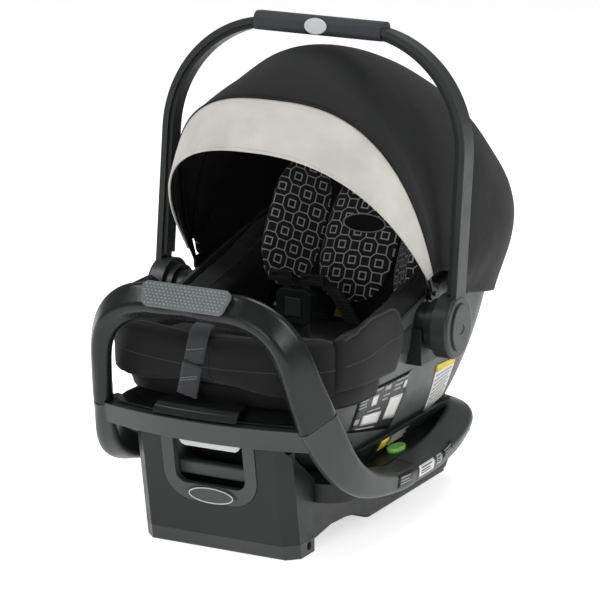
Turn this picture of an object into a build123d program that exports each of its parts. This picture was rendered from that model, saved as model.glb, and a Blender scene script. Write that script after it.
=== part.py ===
from build123d import *
import math
import os

# Infant car seat: a carrier with canopy and handle, clipped into a base with a rebound bar.
# Millimetres. The origin is on the floor, on the symmetry plane, straight below the handle axis.
# +X is to the right, +Y runs from the foot end to the head end, +Z is up.

# ---------------------------------------------------------------- driving dimensions
RUN_GAP = 0.3          # gap between pieces of different bodies
PIN_GAP = 0.05         # radial gap of a pin in its hole
SEAT_GAP = 0.4         # gap between pieces that lie side by side

# base, foot end
LEAN = 0.17            # forward travel of the foot housing per unit of height
FOOT_HALF = 107.0      # half-width of the foot housing
FOOT_FRONT = -230.0    # front bottom edge
FOOT_BACK = -180.0     # back of the housing
FOOT_CHAMFER = 16.0    # corner chamfer of the housing
FOOT_BAR_H = 19.0      # height of the sliding foot bar
HOUSING_TOP = 168.0    # height of the foot housing
HOUSING_WALL = 4.0
WINDOW_HALF = 48.0     # half-width of the window in the grey frame
WINDOW_BOTTOM = 85.0
FRAME_HALF = 64.0      # half-width of the grey window frame
FRAME_BOTTOM = 63.0
FRAME_CORNER = 37.0
SQUEEZE_HALF = 42.0
SQUEEZE_LOW = 133.5
SQUEEZE_HIGH = 157.0
SQUEEZE_DEPTH = 12.0
BADGE_W, BADGE_H, BADGE_T = 66.0, 22.0, 2.4
BADGE_Z = 73.5

# base, body
KEEL_HALF = 106.0
KEEL_FRONT = -36.0
KEEL_BACK = 188.0
SOLE_T = 4.0
BASE_WALL = 4.0
TRAY_HALF = 146.0
TRAY_LOW = 62.0
TRAY_HIGH = 86.0
BASE_REAR = 208.0
ARCH_Z = 19.0          # height of the arch between the foot and the keel
COLLAR_T = 5.0         # wall of the collar that holds the carrier in the tray
COLLAR_TOP = 114.0
COLLAR_Y = (-120, 150)

# crossbar
BAR_HALF = 133.0
BAR_BOW = 20.0
BAR_LOW, BAR_HIGH = 150.0, 179.0
BAR_FRONT_LOW, BAR_FRONT_HIGH = -278.0, -292.0
BAR_WALL = 5.0
DECK_BACK = -241.0
DECK_RISE = 12.0
LIP_HALF = 56.0        # half-width of the raised lip in the middle of the deck

# rebound bar and rim
RIM_ROUND = 8.0
PAD_HALF = 62.0
PAD_TAPER = 9.0
PAD_W, PAD_T = 31.0, 2.2

# carrier
SHELL_WALL = 5.0
SHELL_FLOOR = 66.0
SEAT_FIT = 3.0         # clearance of the carrier in the base
PAD_THICK = 26.0
SEAT_HALF = 112.0
INSERT_HALF = 52.0
INSERT_T = 14.0
WING_END = 8.0         # how far the wings stop short of the centre cushion's ends
HANDLE_AXIS_Z = 252.0
CANOPY_Y, CANOPY_Z = 20.0, 285.0

# handle, measured in its own leaning plane from its axis
HANDLE_LEAN = 6.5
ARM_FOOT_X = 212.5
ARM_X = 212.0
ARM_BEND_R = 153.0
ARM_BEND_Z = 207.0
ARM_DEPTH = 27.0
COVER_T = 8.0
CHANNEL_T = 6.0
CHANNEL_DEPTH = 21.0
GRIP_HALF = 88.0
GRIP_UP, GRIP_T, GRIP_DEPTH = 3.0, 24.0, 30.0
BUTTON_W, BUTTON_H = 30.0, 22.0
HUB_IN, HUB_OUT = 190.0, 213.0
HUB_W, HUB_H = 74.0, 80.0
CAP_W, CAP_H, CAP_T = 46.0, 60.0, 2.5
AXLE_R = 9.0
MOUNT_R = 32.0
BOSS_R = 26.0
MOUNT_IN = 150.0

# canopy, as arches in planes through the canopy axis
CANOPY_T = 3.0
FRONT_DROP = 5.5       # the folding panels lie this far inside the rear panel
FRONT_NARROW = 6.5
HEM_ANGLE = 131.0
SEAM_ANGLE = 114.0
REAR_START = 100.0
REAR_END = -12.0
BOW_T = 5.0
EYE_R = 9.0
EYE_IN, EYE_OUT = 164.1, 168.5
PIN_R = 3.0


# ---------------------------------------------------------------- helpers
def save(name, shape):
    """Write one sub-part as parts/NAME.step."""
    export_step(shape, f"parts/{name}.step")


def both(shape):
    """A shape joined with its mirror image across the symmetry plane."""
    return shape + mirror(shape, about=Plane.YZ)


def side_pair(name, shape):
    """Write a right-hand piece and its left-hand mirror image."""
    save(f"{name}_right", shape)
    save(f"{name}_left", mirror(shape, about=Plane.YZ))


def slab(points, x_low, x_high):
    """A side-view outline of (y, z) points, extruded along X."""
    face = make_face(Polyline([(0, y, z) for y, z in points], close=True))
    return Pos(x_low, 0, 0) * extrude(face, x_high - x_low, dir=(1, 0, 0))


def block(x, y, z):
    """A box from three (low, high) pairs."""
    size = (x[1] - x[0], y[1] - y[0], z[1] - z[0])
    return Pos((x[0] + x[1]) / 2, (y[0] + y[1]) / 2, (z[0] + z[1]) / 2) * Box(*size)


def rod_x(radius, x_low, x_high, y, z):
    """A round bar along X."""
    return Pos((x_low + x_high) / 2, y, z) * Rot(0, 90, 0) * Cylinder(radius, x_high - x_low)


def section(centre, wide, along, width, thick, radius):
    """A rounded rectangle square to `along`, with its width towards `wide`."""
    t = Vector(*along).normalized()
    w = Vector(*wide)
    w = (w - t * w.dot(t)).normalized()
    return Plane(origin=centre, x_dir=w, z_dir=t) * RectangleRounded(width, thick, radius)


def band(stations, radius):
    """A loft through stations of (centre, wide direction, travel direction, width, thickness)."""
    faces = [section(c, w, t, a, b, radius) for c, w, t, a, b in stations]
    return loft([f.face() for f in faces])


# ---------------------------------------------------------------- base: foot end
def lean_y(z):
    """Front of the foot housing at a height."""
    return FOOT_FRONT - LEAN * z


def foot_outline(z, inset, back):
    """Plan of the foot housing at a height, drawn in by an inset, open to `back`."""
    front = lean_y(z) + inset
    half = FOOT_HALF - inset
    cut = FOOT_CHAMFER - 0.4 * inset
    right = [(half - cut, front), (half, front + cut), (half, back)]
    points = [(-x, y) for x, y in reversed(right)] + right
    return make_face(Polyline([(x, y, z) for x, y in points], close=True)).face()


def foot_block(z_low, z_high, inset, back):
    return loft([foot_outline(z_low, inset, back), foot_outline(z_high, inset, back)], ruled=True)


def window_cut(half, bottom, corner):
    """A U-shaped cut through the leaning front wall, open at the top."""
    height = HOUSING_TOP + 40 - bottom
    face = Plane.XZ * Pos(0, bottom + height / 2) * RectangleRounded(2 * half, height, corner)
    return Pos(0, -200, 0) * extrude(face, 120)


def make_foot_housing():
    z0 = FOOT_BAR_H + SEAT_GAP
    outer = foot_block(z0, HOUSING_TOP, 0, FOOT_BACK)
    inner = foot_block(z0 - 1, HOUSING_TOP + 1, HOUSING_WALL, FOOT_BACK + 10)
    cheek = slab([(-244, 200), (-244, 141), (FOOT_BACK, 92), (-100, 92), (-100, 200)], -200, 200)
    return outer - inner - cheek - window_cut(FRAME_HALF, FRAME_BOTTOM, FRAME_CORNER)


def wall_strip(proud, depth):
    """The leaning slab that holds the window frame."""
    z0, z1 = FOOT_BAR_H + 1, HOUSING_TOP
    front = [(lean_y(z) - proud, z) for z in (z0, z1)]
    back = [(lean_y(z) + depth, z) for z in (z1, z0)]
    return slab(front + back, -FOOT_HALF, FOOT_HALF)


def make_window_frame():
    outer = wall_strip(1.2, 9.0) & window_cut(FRAME_HALF - 0.1, FRAME_BOTTOM + 0.1, FRAME_CORNER)
    return outer - window_cut(WINDOW_HALF, WINDOW_BOTTOM, 14)


def make_badge():
    plane = Plane(origin=(0, lean_y(BADGE_Z) - 1.2, BADGE_Z), x_dir=(1, 0, 0), z_dir=(0, -1, -LEAN))
    return extrude(plane * Ellipse(BADGE_W / 2, BADGE_H / 2), BADGE_T)


def make_squeeze_handle():
    """Grip that frees the foot: a rounded bar with a skirt behind it."""
    z = (SQUEEZE_LOW + SQUEEZE_HIGH) / 2
    plane = Plane(origin=(0, lean_y(z) + 4, z), x_dir=(1, 0, 0), z_dir=(0, 1, LEAN))
    bar = extrude(plane * RectangleRounded(2 * SQUEEZE_HALF, SQUEEZE_HIGH - SQUEEZE_LOW, 9), SQUEEZE_DEPTH)
    return bar


def make_lock_bar():
    z = (SQUEEZE_LOW + SQUEEZE_HIGH) / 2
    y = lean_y(z) + 4 + SQUEEZE_DEPTH
    plate = block((-30, 30), (y - 2, y + 12), (z - 9, z - 5))
    return rod_x(4, -66, 66, y + 16, z - 7) + plate - make_squeeze_handle()


def make_inner_bar():
    """Fixed grip bar behind the lower half of the window."""
    z = WINDOW_BOTTOM + 19
    y = lean_y(z) + 14
    bar = block((-SQUEEZE_HALF - 16, SQUEEZE_HALF + 16), (y, y + 14), (z - 12, z + 5))
    return fillet(bar.edges().filter_by(Axis.X), 3)


def make_foot_bar():
    solid = foot_block(0, FOOT_BAR_H, 0, FOOT_BACK)
    solid = fillet(solid.edges().filter_by(Axis.X).group_by(Axis.Z)[0].group_by(Axis.Y)[0], 3)
    pin_hole = rod_x(5.5, FOOT_HALF - 8, FOOT_HALF + 5, FOOT_BACK - 14, 11)
    return solid - both(pin_hole)


def make_foot_slide():
    """Two racked legs that carry the foot bar inside the housing."""
    z0, z1 = FOOT_BAR_H, 134.0
    legs = []
    for x in (70.0, 94.0):
        front = [(lean_y(z) + 16, z) for z in (z0, z1)]
        back = [(y + 22, z) for y, z in reversed(front)]
        leg = slab(front + back, x, x + 4)
        for z in (50, 75, 100, 125):
            leg -= rod_x(3, x - 1, x + 5, lean_y(z) + 27, z - 6)
        legs.append(leg)
    foot = block((70, 98), (lean_y(z0) + 16, lean_y(z0) + 38), (z0, z0 + 4))
    return both(legs[0] + legs[1] + foot)


# ---------------------------------------------------------------- base: crossbar, rims, rebound bar
BAR_R = (BAR_HALF ** 2 + BAR_BOW ** 2) / (2 * BAR_BOW)
BAR_SWEEP = 2 * math.degrees(math.asin(BAR_HALF / BAR_R))
BAR_CENTRE_Y = BAR_FRONT_LOW + BAR_R

# Stations of the right-hand frame: centre, direction of the broad face, travel, width, thickness.
PARTING = ((146.8, -251.4, 187), (0.545, 0.84, 0), (0.2, 0.4, -0.9), 52, 24)
SEAM = ((161, -45, 72), (0.15, 0, 0.98), (0, 1, -0.03), 25, 38)
LOOP = [
    ((0, -292, 325), (0, 0.57, 0.82), (1, 0, 0), 38, 34),
    ((58, -288, 321), (0, 0.57, 0.82), (1, 0.03, -0.12), 38, 34),
    ((99, -285, 308), (0.25, 0.62, 0.65), (0.8, 0.08, -0.6), 40, 32),
    ((123, -281, 283), (0.42, 0.75, 0.3), (0.5, 0.15, -0.85), 43, 28),
    ((136, -272, 246), (0.53, 0.82, 0.1), (0.28, 0.28, -0.92), 47, 25),
    ((142, -262, 216), (0.545, 0.84, 0), (0.2, 0.36, -0.91), 50, 24),
    PARTING,
]
CURVE = [
    PARTING,
    ((158, -226, 140), (0.45, 0.72, 0.5), (0.2, 0.5, -0.85), 47, 26),
    ((163, -192, 106), (0.28, 0.5, 0.82), (0.1, 0.75, -0.65), 40, 30),
    ((163, -145, 86), (0.2, 0.3, 0.93), (0, 0.93, -0.36), 33, 34),
    ((162, -95, 75), (0.15, 0.1, 0.98), (-0.01, 0.99, -0.12), 27, 37),
    SEAM,
]
TAIL = [
    SEAM,
    ((160, 15, 73), (0.25, 0, 0.97), (-0.03, 1, 0.05), 25, 39),
    ((156, 75, 78), (0.36, 0, 0.93), (-0.1, 0.99, 0.08), 26, 40),
    ((144, 135, 84), (0.4, 0.1, 0.91), (-0.32, 0.95, 0.05), 27, 41),
    ((114, 188, 85), (0.28, 0.3, 0.91), (-0.75, 0.66, 0), 27, 41),
    ((62, 213, 82), (0.08, 0.4, 0.91), (-0.96, 0.2, 0), 27, 40),
    ((0, 219, 80), (0, 0.4, 0.91), (-1, 0, 0), 27, 40),
]


def bowed(face, sweep):
    """A profile in the symmetry plane, swept along the crossbar's bow by an angle."""
    solid = revolve(face, Axis((0, BAR_CENTRE_Y, 0), (0, 0, 1)), sweep)
    return Pos(0, BAR_CENTRE_Y, 0) * Rot(0, 0, -sweep / 2) * Pos(0, -BAR_CENTRE_Y, 0) * solid


def make_crossbar():
    slope = (BAR_FRONT_HIGH - BAR_FRONT_LOW) / (BAR_HIGH - BAR_LOW)
    points = [
        (BAR_FRONT_LOW, BAR_LOW),
        (BAR_FRONT_HIGH, BAR_HIGH),
        (BAR_FRONT_HIGH + 34, BAR_HIGH + 3),
        (BAR_FRONT_HIGH + 34, BAR_HIGH + 3 - BAR_WALL),
        (BAR_FRONT_HIGH + 2 * BAR_WALL, BAR_HIGH - BAR_WALL),
        (BAR_FRONT_LOW + 2 * BAR_WALL - slope * 3, BAR_LOW),
    ]
    face = make_face(Polyline([(0, y, z) for y, z in points], close=True))
    return bowed(face, BAR_SWEEP + 2.4)


def make_front_rim():
    """The front moulding: the crossbar and the two side curves, in one piece."""
    curve = band(CURVE, RIM_ROUND)
    return both(curve) + (make_crossbar() - make_rebound_bar())


def make_rear_rim():
    """The rear moulding: both side rails and the bar around the head end."""
    return both(band(TAIL, RIM_ROUND))


def make_rebound_bar():
    return both(band(LOOP, 10))


def make_grip_pad():
    """Rubber pad on the front of the rebound bar."""
    centre, wide, along, width, thick = LOOP[0]
    w = Vector(*wide).normalized()
    out = Vector(0, -w.Z, w.Y)
    origin = Vector(*centre) + out * (thick / 2 - 3)
    plane = Plane(origin=origin, x_dir=(1, 0, 0), z_dir=out)
    low_half = PAD_HALF - PAD_TAPER
    top, bottom = PAD_W / 2, -PAD_W / 2
    corners = [(-PAD_HALF, top), (PAD_HALF, top), (low_half, bottom), (-low_half, bottom)]
    outline = make_face(Polyline([(x, y, 0) for x, y in corners], close=True))
    outline = fillet(outline.vertices(), 8)
    pad = extrude(plane * outline, 3 + PAD_T)
    return pad - make_rebound_bar()


def make_front_deck():
    """Glossy cover from the crossbar back to the carrier."""
    points = [
        (BAR_FRONT_HIGH + 10, BAR_HIGH + 3.5),
        (BAR_FRONT_HIGH + 34, BAR_HIGH + 10),
        (DECK_BACK, BAR_HIGH + DECK_RISE),
        (DECK_BACK, BAR_HIGH + DECK_RISE - 5),
        (BAR_FRONT_HIGH + 34, BAR_HIGH + 3.5),
    ]
    face = make_face(Polyline([(0, y, z) for y, z in points], close=True))
    cover = bowed(face, BAR_SWEEP - 2.6)
    lip = [
        (BAR_FRONT_HIGH + 3, BAR_HIGH + 3.2),
        (BAR_FRONT_HIGH + 7, BAR_HIGH + 11),
        (BAR_FRONT_HIGH + 14, BAR_HIGH + 15),
        (BAR_FRONT_HIGH + 38, BAR_HIGH + 17),
        (BAR_FRONT_HIGH + 50, BAR_HIGH + 11),
        (BAR_FRONT_HIGH + 30, BAR_HIGH + 6),
    ]
    lip_face = make_face(Polyline([(0, y, z) for y, z in lip], close=True))
    return cover + bowed(lip_face, 2 * math.degrees(math.asin(LIP_HALF / BAR_R)))


# ---------------------------------------------------------------- carrier shell
SHELL_LEVELS = [
    # height, foot-end Y, head-end Y, half-width, corner radius
    (SHELL_FLOOR, -110, 165, 88, 60),
    (100, -165, 194, 118, 75),
    (150, -213, 220, 140, 85),
    (200, -236, 243, 154, 95),
    (260, -245, 270, 162, 103),
    (370, -246, 300, 167, 110),
]
RIM_LINE = [(-260, 226), (-170, 240), (-80, 262), (60, 292), (200, 322), (310, 348)]


def shell_block(inset, lift):
    """The carrier's bowl as a solid, drawn in by an inset and raised by a lift."""
    faces = []
    for z, y0, y1, half, radius in SHELL_LEVELS:
        y_mid, length = (y0 + y1) / 2, y1 - y0
        plane = Plane(origin=(0, y_mid, z + lift))
        shape = RectangleRounded(2 * (half - inset), length - 2 * inset, radius - inset * 0.8)
        faces.append((plane * shape).face())
    return loft(faces)


def above_rim(offset):
    """Everything above the rim line, moved up by an offset."""
    line = [(y, z + offset) for y, z in RIM_LINE]
    return slab([(-400, 600), (-400, line[0][1])] + line + [(400, line[-1][1]), (400, 600)], -300, 300)


def make_carrier_shell():
    outer = shell_block(0, 0) - above_rim(0)
    return outer - shell_block(SHELL_WALL, SHELL_WALL)


# The seat surface in side view: front edge, seat dip, back.
SEAT_LINE = [(-232, 262), (-190, 262), (-90, 226), (30, 200), (98, 205), (130, 250), (214, 392)]


def below_seat(depth):
    """The seat line moved down under the seat and back behind the backrest."""
    line = []
    for y, z in SEAT_LINE:
        if y < 90:
            line.append((y, z - depth * 0.9))
        else:
            line.append((y + depth * 0.86, z - depth * 0.45))
    return line


def seat_layer(top, bottom, half):
    """A layer under the seat surface between two depths."""
    return slab(below_seat(top) + below_seat(bottom)[::-1], -half, half)


def make_seat_pad():
    bowl = shell_block(SHELL_WALL + SEAT_GAP, SHELL_WALL + SEAT_GAP)
    above = block((-300, 300), (-210, 400), (300, 600))
    return seat_layer(0, PAD_THICK, SEAT_HALF) & (bowl + above)


def make_foam_liner():
    """Foam block that fills the bowl under the seat pad."""
    points = below_seat(PAD_THICK + 1.2)[1:]
    region = slab(points + [(400, 360), (400, 60), (-190, 60)], -SEAT_HALF, SEAT_HALF)
    bowl = shell_block(SHELL_WALL + SEAT_GAP, SHELL_WALL + SEAT_GAP) - above_rim(-8)
    hollow = slab([(-120, 100), (-120, 150), (40, 120), (160, 130), (180, 100)], -60, 60)
    return (region & bowl) - hollow


def make_side_pad():
    """Padded side of the bowl, right-hand side."""
    low = [(y, z - 14) for y, z in SEAT_LINE[1:-1]]
    top = [(236, 330), (150, 320), (60, 298), (-80, 269), (-190, 260)]
    region = slab(low + top, SEAT_HALF + SEAT_GAP, 200)
    bowl = shell_block(SHELL_WALL + SEAT_GAP, SHELL_WALL + SEAT_GAP)
    return (region & bowl) - block((0, 300), (-400, 400), (318, 600))


def make_front_roll():
    """Padded roll over the foot-end rim."""
    roll = block((-166, 166), (-259, -160), (209, 284))
    roll = fillet(roll.edges().filter_by(Axis.Z).group_by(Axis.Y)[0], 90)
    roll = fillet(roll.edges().group_by(Axis.Z)[-1].group_by(Axis.Y)[0], 14)
    keep_out = shell_block(-SEAT_GAP, 0) - above_rim(SEAT_GAP)
    seat = seat_layer(-60, PAD_THICK + 1, SEAT_HALF + 0.2)
    inner = block((-SEAT_HALF, SEAT_HALF), (-233, 0), (0, 400))
    return roll - keep_out - inner - block((-300, 300), (-210, 0), (0, 600)) - seat


def make_side_roll():
    """Padded roll over the side rim, right-hand side."""
    outline = [
        (-209.5, 209),
        (-209.5, 280),
        (-172, 293),
        (-152, 297),
        (-94, 296),
        (-80, 287),
        (-73, 264),
        (-72, 240),
        (-76, 206),
    ]
    roll = slab(outline, 0, 176)
    bowl = shell_block(-11, 0) & roll
    keep_out = shell_block(-SEAT_GAP, 0) - above_rim(SEAT_GAP)
    inside = shell_block(SHELL_WALL - 2, 0)
    return bowl - keep_out - inside - block((-300, 60), (-400, 400), (0, 600))


# ---------------------------------------------------------------- insert, harness, buckle
BACK_FOOT = Vector(0, 117, 229)
BACK_HEAD = Vector(0, 208, 382)
BACK_DIR = (BACK_HEAD - BACK_FOOT).normalized()
BACK_OUT = Vector(0, -BACK_DIR.Z, BACK_DIR.Y)
BACK_PLANE = Plane(origin=(BACK_FOOT + BACK_HEAD) * 0.5, x_dir=(1, 0, 0), z_dir=BACK_OUT)
BACK_LEN = (BACK_HEAD - BACK_FOOT).length


def on_back(shape, lift):
    return BACK_PLANE * Pos(0, 0, lift) * shape


def make_insert_back():
    return on_back(extrude(RectangleRounded(2 * INSERT_HALF, BACK_LEN, 30), INSERT_T), 5)


# Cross-section of the insert's wing: across, and out from the back.
WING_OUTLINE = [(58, 5), (101, 5), (111, 20), (111, 56), (104, 62), (95, 57), (78, 38)]


def make_insert_wing():
    """Side wing of the insert, right-hand side: a lobe that stands forward beside the head."""
    half = BACK_LEN / 2 - WING_END
    face = make_face(Polyline([(x, 0, w) for x, w in WING_OUTLINE], close=True))
    lobe = Pos(0, -half, 0) * extrude(face, 2 * half, dir=(0, 1, 0))
    ends = [(-half, 4), (half, 4), (half, 26), (half - 22, 64), (22 - half, 64), (-half, 26)]
    return on_back(lobe & slab(ends, 50, 120), 0)


def thick_line(points, thick):
    """Closed outline of a strip that follows (y, z) points, thickened on its left."""
    edge = []
    for i, (y, z) in enumerate(points):
        before = points[max(i - 1, 0)]
        after = points[min(i + 1, len(points) - 1)]
        dy, dz = after[0] - before[0], after[1] - before[1]
        size = math.hypot(dy, dz)
        edge.append((y - dz / size * thick, z + dy / size * thick))
    return list(points) + edge[::-1]


def strap(points, thick, x, width):
    """A flat strap through (y, z) points, centred at a place in X."""
    return slab(thick_line(points, thick), x - width / 2, x + width / 2)


STRAP_W, STRAP_T = 27.0, 1.6
TAIL_X, TAIL_LENGTH, TAIL_SLANT = -6.0, 68.0, 13.0
BUCKLE_Y, BUCKLE_LOW, BUCKLE_HIGH = -26.0, 232.0, 282.0


def make_adjuster_strap():
    """Webbing tail that hangs over the front roll."""
    points = [(-226, 286.2), (-248, 287), (-259, 282.5), (-263.5, 272), (-263.5, 262)]
    over = strap(points, STRAP_T, TAIL_X, STRAP_W)
    tail = Pos(0, 0, -TAIL_LENGTH / 2) * Box(STRAP_W, STRAP_T, TAIL_LENGTH)
    return over + Pos(TAIL_X, -263.5 - STRAP_T / 2, 268) * Rot(0, TAIL_SLANT, 0) * tail


def make_crotch_strap():
    return strap([(BUCKLE_Y + 4, 222), (BUCKLE_Y + 1, BUCKLE_LOW + 6)], 3.0, 0, 34)


def make_buckle():
    body = block((-24, 24), (BUCKLE_Y - 9, BUCKLE_Y + 9), (BUCKLE_LOW + 6.5, BUCKLE_HIGH))
    body = fillet(body.edges().filter_by(Axis.Y), 9)
    pocket = block((-11, 11), (BUCKLE_Y - 12, BUCKLE_Y - 3), (BUCKLE_LOW + 16, BUCKLE_HIGH - 10))
    mouth = both(block((6, 21), (BUCKLE_Y - 2, BUCKLE_Y + 4), (BUCKLE_HIGH - 14, BUCKLE_HIGH + 2)))
    return body - pocket - mouth


def make_buckle_button():
    low, high = BUCKLE_LOW + 16 + RUN_GAP, BUCKLE_HIGH - 10 - RUN_GAP
    return block((-11 + RUN_GAP, 11 - RUN_GAP), (BUCKLE_Y - 10.5, BUCKLE_Y - 7), (low, high))


def make_tongue():
    """Steel tongue in the buckle with the strap loop at its top, right-hand side."""
    blade = block((8, 19), (BUCKLE_Y, BUCKLE_Y + 2.5), (BUCKLE_HIGH - 12, BUCKLE_HIGH + 6))
    loop = block((6, 38), (BUCKLE_Y - 1, BUCKLE_Y + 3.5), (BUCKLE_HIGH + 6, BUCKLE_HIGH + 20))
    slot = block((11, 33), (BUCKLE_Y - 2, BUCKLE_Y + 4.5), (BUCKLE_HIGH + 12, BUCKLE_HIGH + 16))
    return blade + loop - slot


def make_shoulder_strap():
    """Strap from the tongue to the slot beside the insert, right-hand side."""
    points = [
        (BUCKLE_Y + 9, BUCKLE_HIGH + 14),
        (50, 252),
        (84, 214),
        (96.6, 208.2),
        (112.7, 226.7),
        (127.5, 251.5),
        (200, 374),
    ]
    return strap(points, STRAP_T, 22, 24)


def make_splitter_plate():
    plate = block((-26, 26), (60, 110), (108, 110.5))
    return plate - both(block((8, 20), (92, 98), (105, 115))) - block((-14, 14), (66, 72), (105, 115))


# ---------------------------------------------------------------- carrier hardware
def make_handle_mount():
    """Boss on the bowl that carries the handle, right-hand side."""
    boss = rod_x(BOSS_R, MOUNT_IN, HUB_IN - 0.5, 0, HANDLE_AXIS_Z)
    boss += rod_x(MOUNT_R, 179, HUB_IN - 0.5, 0, HANDLE_AXIS_Z)
    axle = rod_x(AXLE_R, HUB_IN - 1, HUB_OUT - 3, 0, HANDLE_AXIS_Z)
    foot = slab([(-30, 205), (34, 205), (40, 252), (-32, 252)], MOUNT_IN, 176)
    return boss + axle + foot - shell_block(0, 0)


def make_canopy_mount():
    """Bracket with the pin for the canopy frame, right-hand side."""
    plate = slab([(26, 262), (44, 262), (44, 290), (32, 297), (8, 297), (6, 284)], 157, EYE_IN - RUN_GAP)
    pin = rod_x(PIN_R, EYE_IN - 1, EYE_OUT + 3, CANOPY_Y, CANOPY_Z)
    cut = rod_x(BOSS_R + SEAT_GAP, 100, 300, 0, HANDLE_AXIS_Z)
    return plate - cut - shell_block(-0.2, 0) + pin


LATCH_Y, LATCH_Z = 96.0, 57.0
LATCH_HALF = 52.0
ROD_R = 4.0
ROD_Y, ROD_Z = 112.0, 37.0


def make_latch_bracket():
    """Bracket under the bowl that holds the latch pin."""
    cheek = block((LATCH_HALF + 7, LATCH_HALF + 11), (LATCH_Y - 10, LATCH_Y + 10), (LATCH_Z - 9, 72))
    pin = rod_x(PIN_R, -LATCH_HALF - 9, LATCH_HALF + 9, LATCH_Y, LATCH_Z)
    return both(cheek) + pin - shell_block(0, 0)


def make_latch_hooks():
    """Two hooks on one cross tube, which turn on the bracket's pin."""
    about_pin = [(-6, 6), (6, 6), (7, -12), (10, -17), (8, -27), (-3, -24), (-7, -8)]
    outline = [(LATCH_Y + y, LATCH_Z + z) for y, z in about_pin]
    hook = slab(outline, LATCH_HALF - 6, LATCH_HALF)
    tube = rod_x(PIN_R + 3, -LATCH_HALF + 1, LATCH_HALF - 1, LATCH_Y, LATCH_Z)
    return both(hook) + tube - rod_x(PIN_R + PIN_GAP, -200, 200, LATCH_Y, LATCH_Z)


def make_latch_rod():
    return rod_x(ROD_R, -KEEL_HALF + BASE_WALL - 2, KEEL_HALF - BASE_WALL + 2, ROD_Y, ROD_Z)


RELEASE_Z = 205.0


def make_release_housing():
    """Pocket on the head-end wall around the release handle."""
    body = block((-48, 48), (230, 268), (180, 232))
    body = fillet(body.edges().filter_by(Axis.Y), 8)
    pocket = block((-40, 40), (254, 300), (RELEASE_Z - 18, RELEASE_Z + 20))
    return body - pocket - shell_block(0, 0)


def make_release_handle():
    body = block((-39, 39), (254.5, 266.5), (RELEASE_Z - 17, RELEASE_Z + 3))
    return fillet(body.edges().filter_by(Axis.X).group_by(Axis.Y)[-1], 4)


def make_adjuster_housing():
    """Metal housing of the harness adjuster, at the front of the seat."""
    body = block((-20, 20), (-226, -196), (287.5, 292))
    return body - block((-15, 15), (-222, -200), (286, 294))


def make_adjuster_lever():
    """Lever of the harness adjuster, which turns on a pin at its back edge."""
    lever = block((-14.5, 14.5), (-221.5, -202), (288, 291))
    return lever + rod_x(1.5, -14.5, 14.5, -202, 289.5)


# ---------------------------------------------------------------- handle
def handle_outer(drop):
    """Half outline of the handle at a depth inside its outer edge, from hub to top."""
    radius = ARM_BEND_R - drop
    start = (ARM_FOOT_X - drop, 0)
    knee = (ARM_X - drop, ARM_BEND_Z)
    diagonal = radius * math.sin(math.pi / 4)
    bend = (ARM_X - ARM_BEND_R + diagonal, ARM_BEND_Z + diagonal)
    top = (ARM_X - ARM_BEND_R, ARM_BEND_Z + radius)
    return start, knee, bend, top


def handle_slab(outer_drop, inner_drop, depth):
    """The handle's bow between two depths, centred on its plane, standing upright."""
    a0, a1, a2, a3 = handle_outer(outer_drop)
    b0, b1, b2, b3 = handle_outer(inner_drop)
    flat_a, flat_b = (0, a3[1] + 2), (0, b3[1] + 2)
    outer = [Line(a0, a1), ThreePointArc(a1, a2, a3), Line(a3, flat_a), Line(flat_a, flat_b)]
    inner = [Line(flat_b, b3), ThreePointArc(b3, b2, b1), Line(b1, b0), Line(b0, a0)]
    face = make_face(Curve() + outer + inner)
    half = Plane.XZ * face
    solid = Pos(0, depth / 2, 0) * extrude(half, depth)
    return both(solid)


def lean_back(shape):
    """Take a piece of the upright handle to its real place."""
    return Pos(0, 0, HANDLE_AXIS_Z) * Rot(-HANDLE_LEAN, 0, 0) * shape


GRIP_MID = ARM_BEND_Z + ARM_BEND_R + 2 + GRIP_UP - GRIP_T / 2


def make_handle_channel():
    """Inner channel of the handle, which runs through the grip."""
    channel = handle_slab(COVER_T, COVER_T + CHANNEL_T, CHANNEL_DEPTH)
    hub_zone = Rot(0, 90, 0) * Cylinder(46, 600)
    return lean_back(channel - hub_zone)


def make_handle_arm():
    """Outer cover of one arm with its hub, right-hand side."""
    arm = handle_slab(0, COVER_T, ARM_DEPTH) - block((-300, GRIP_HALF - 2), (-100, 100), (-100, 600))
    arm = arm - Rot(0, 90, 0) * Cylinder(20, 600)
    hub = Plane.YZ * Ellipse(HUB_W / 2, HUB_H / 2)
    hub = Pos(HUB_IN, 0, 0) * extrude(hub, HUB_OUT - HUB_IN)
    hub = fillet(hub.edges().group_by(Axis.X)[-1], 4)
    bore = rod_x(AXLE_R + PIN_GAP, HUB_IN - 1, HUB_OUT - 2.5, 0, 0)
    return lean_back(arm + hub - bore)


def make_hub_cap():
    cap = Plane.YZ * Ellipse(CAP_W / 2, CAP_H / 2)
    cap = Pos(HUB_OUT, 0, 0) * extrude(cap, CAP_T)
    dimple = Pos(HUB_OUT + CAP_T - 0.8, 0, -2) * extrude(Plane.YZ * Ellipse(9, 6), 3)
    return lean_back(fillet(cap.edges().group_by(Axis.X)[-1], 1.2) - dimple)


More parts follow.
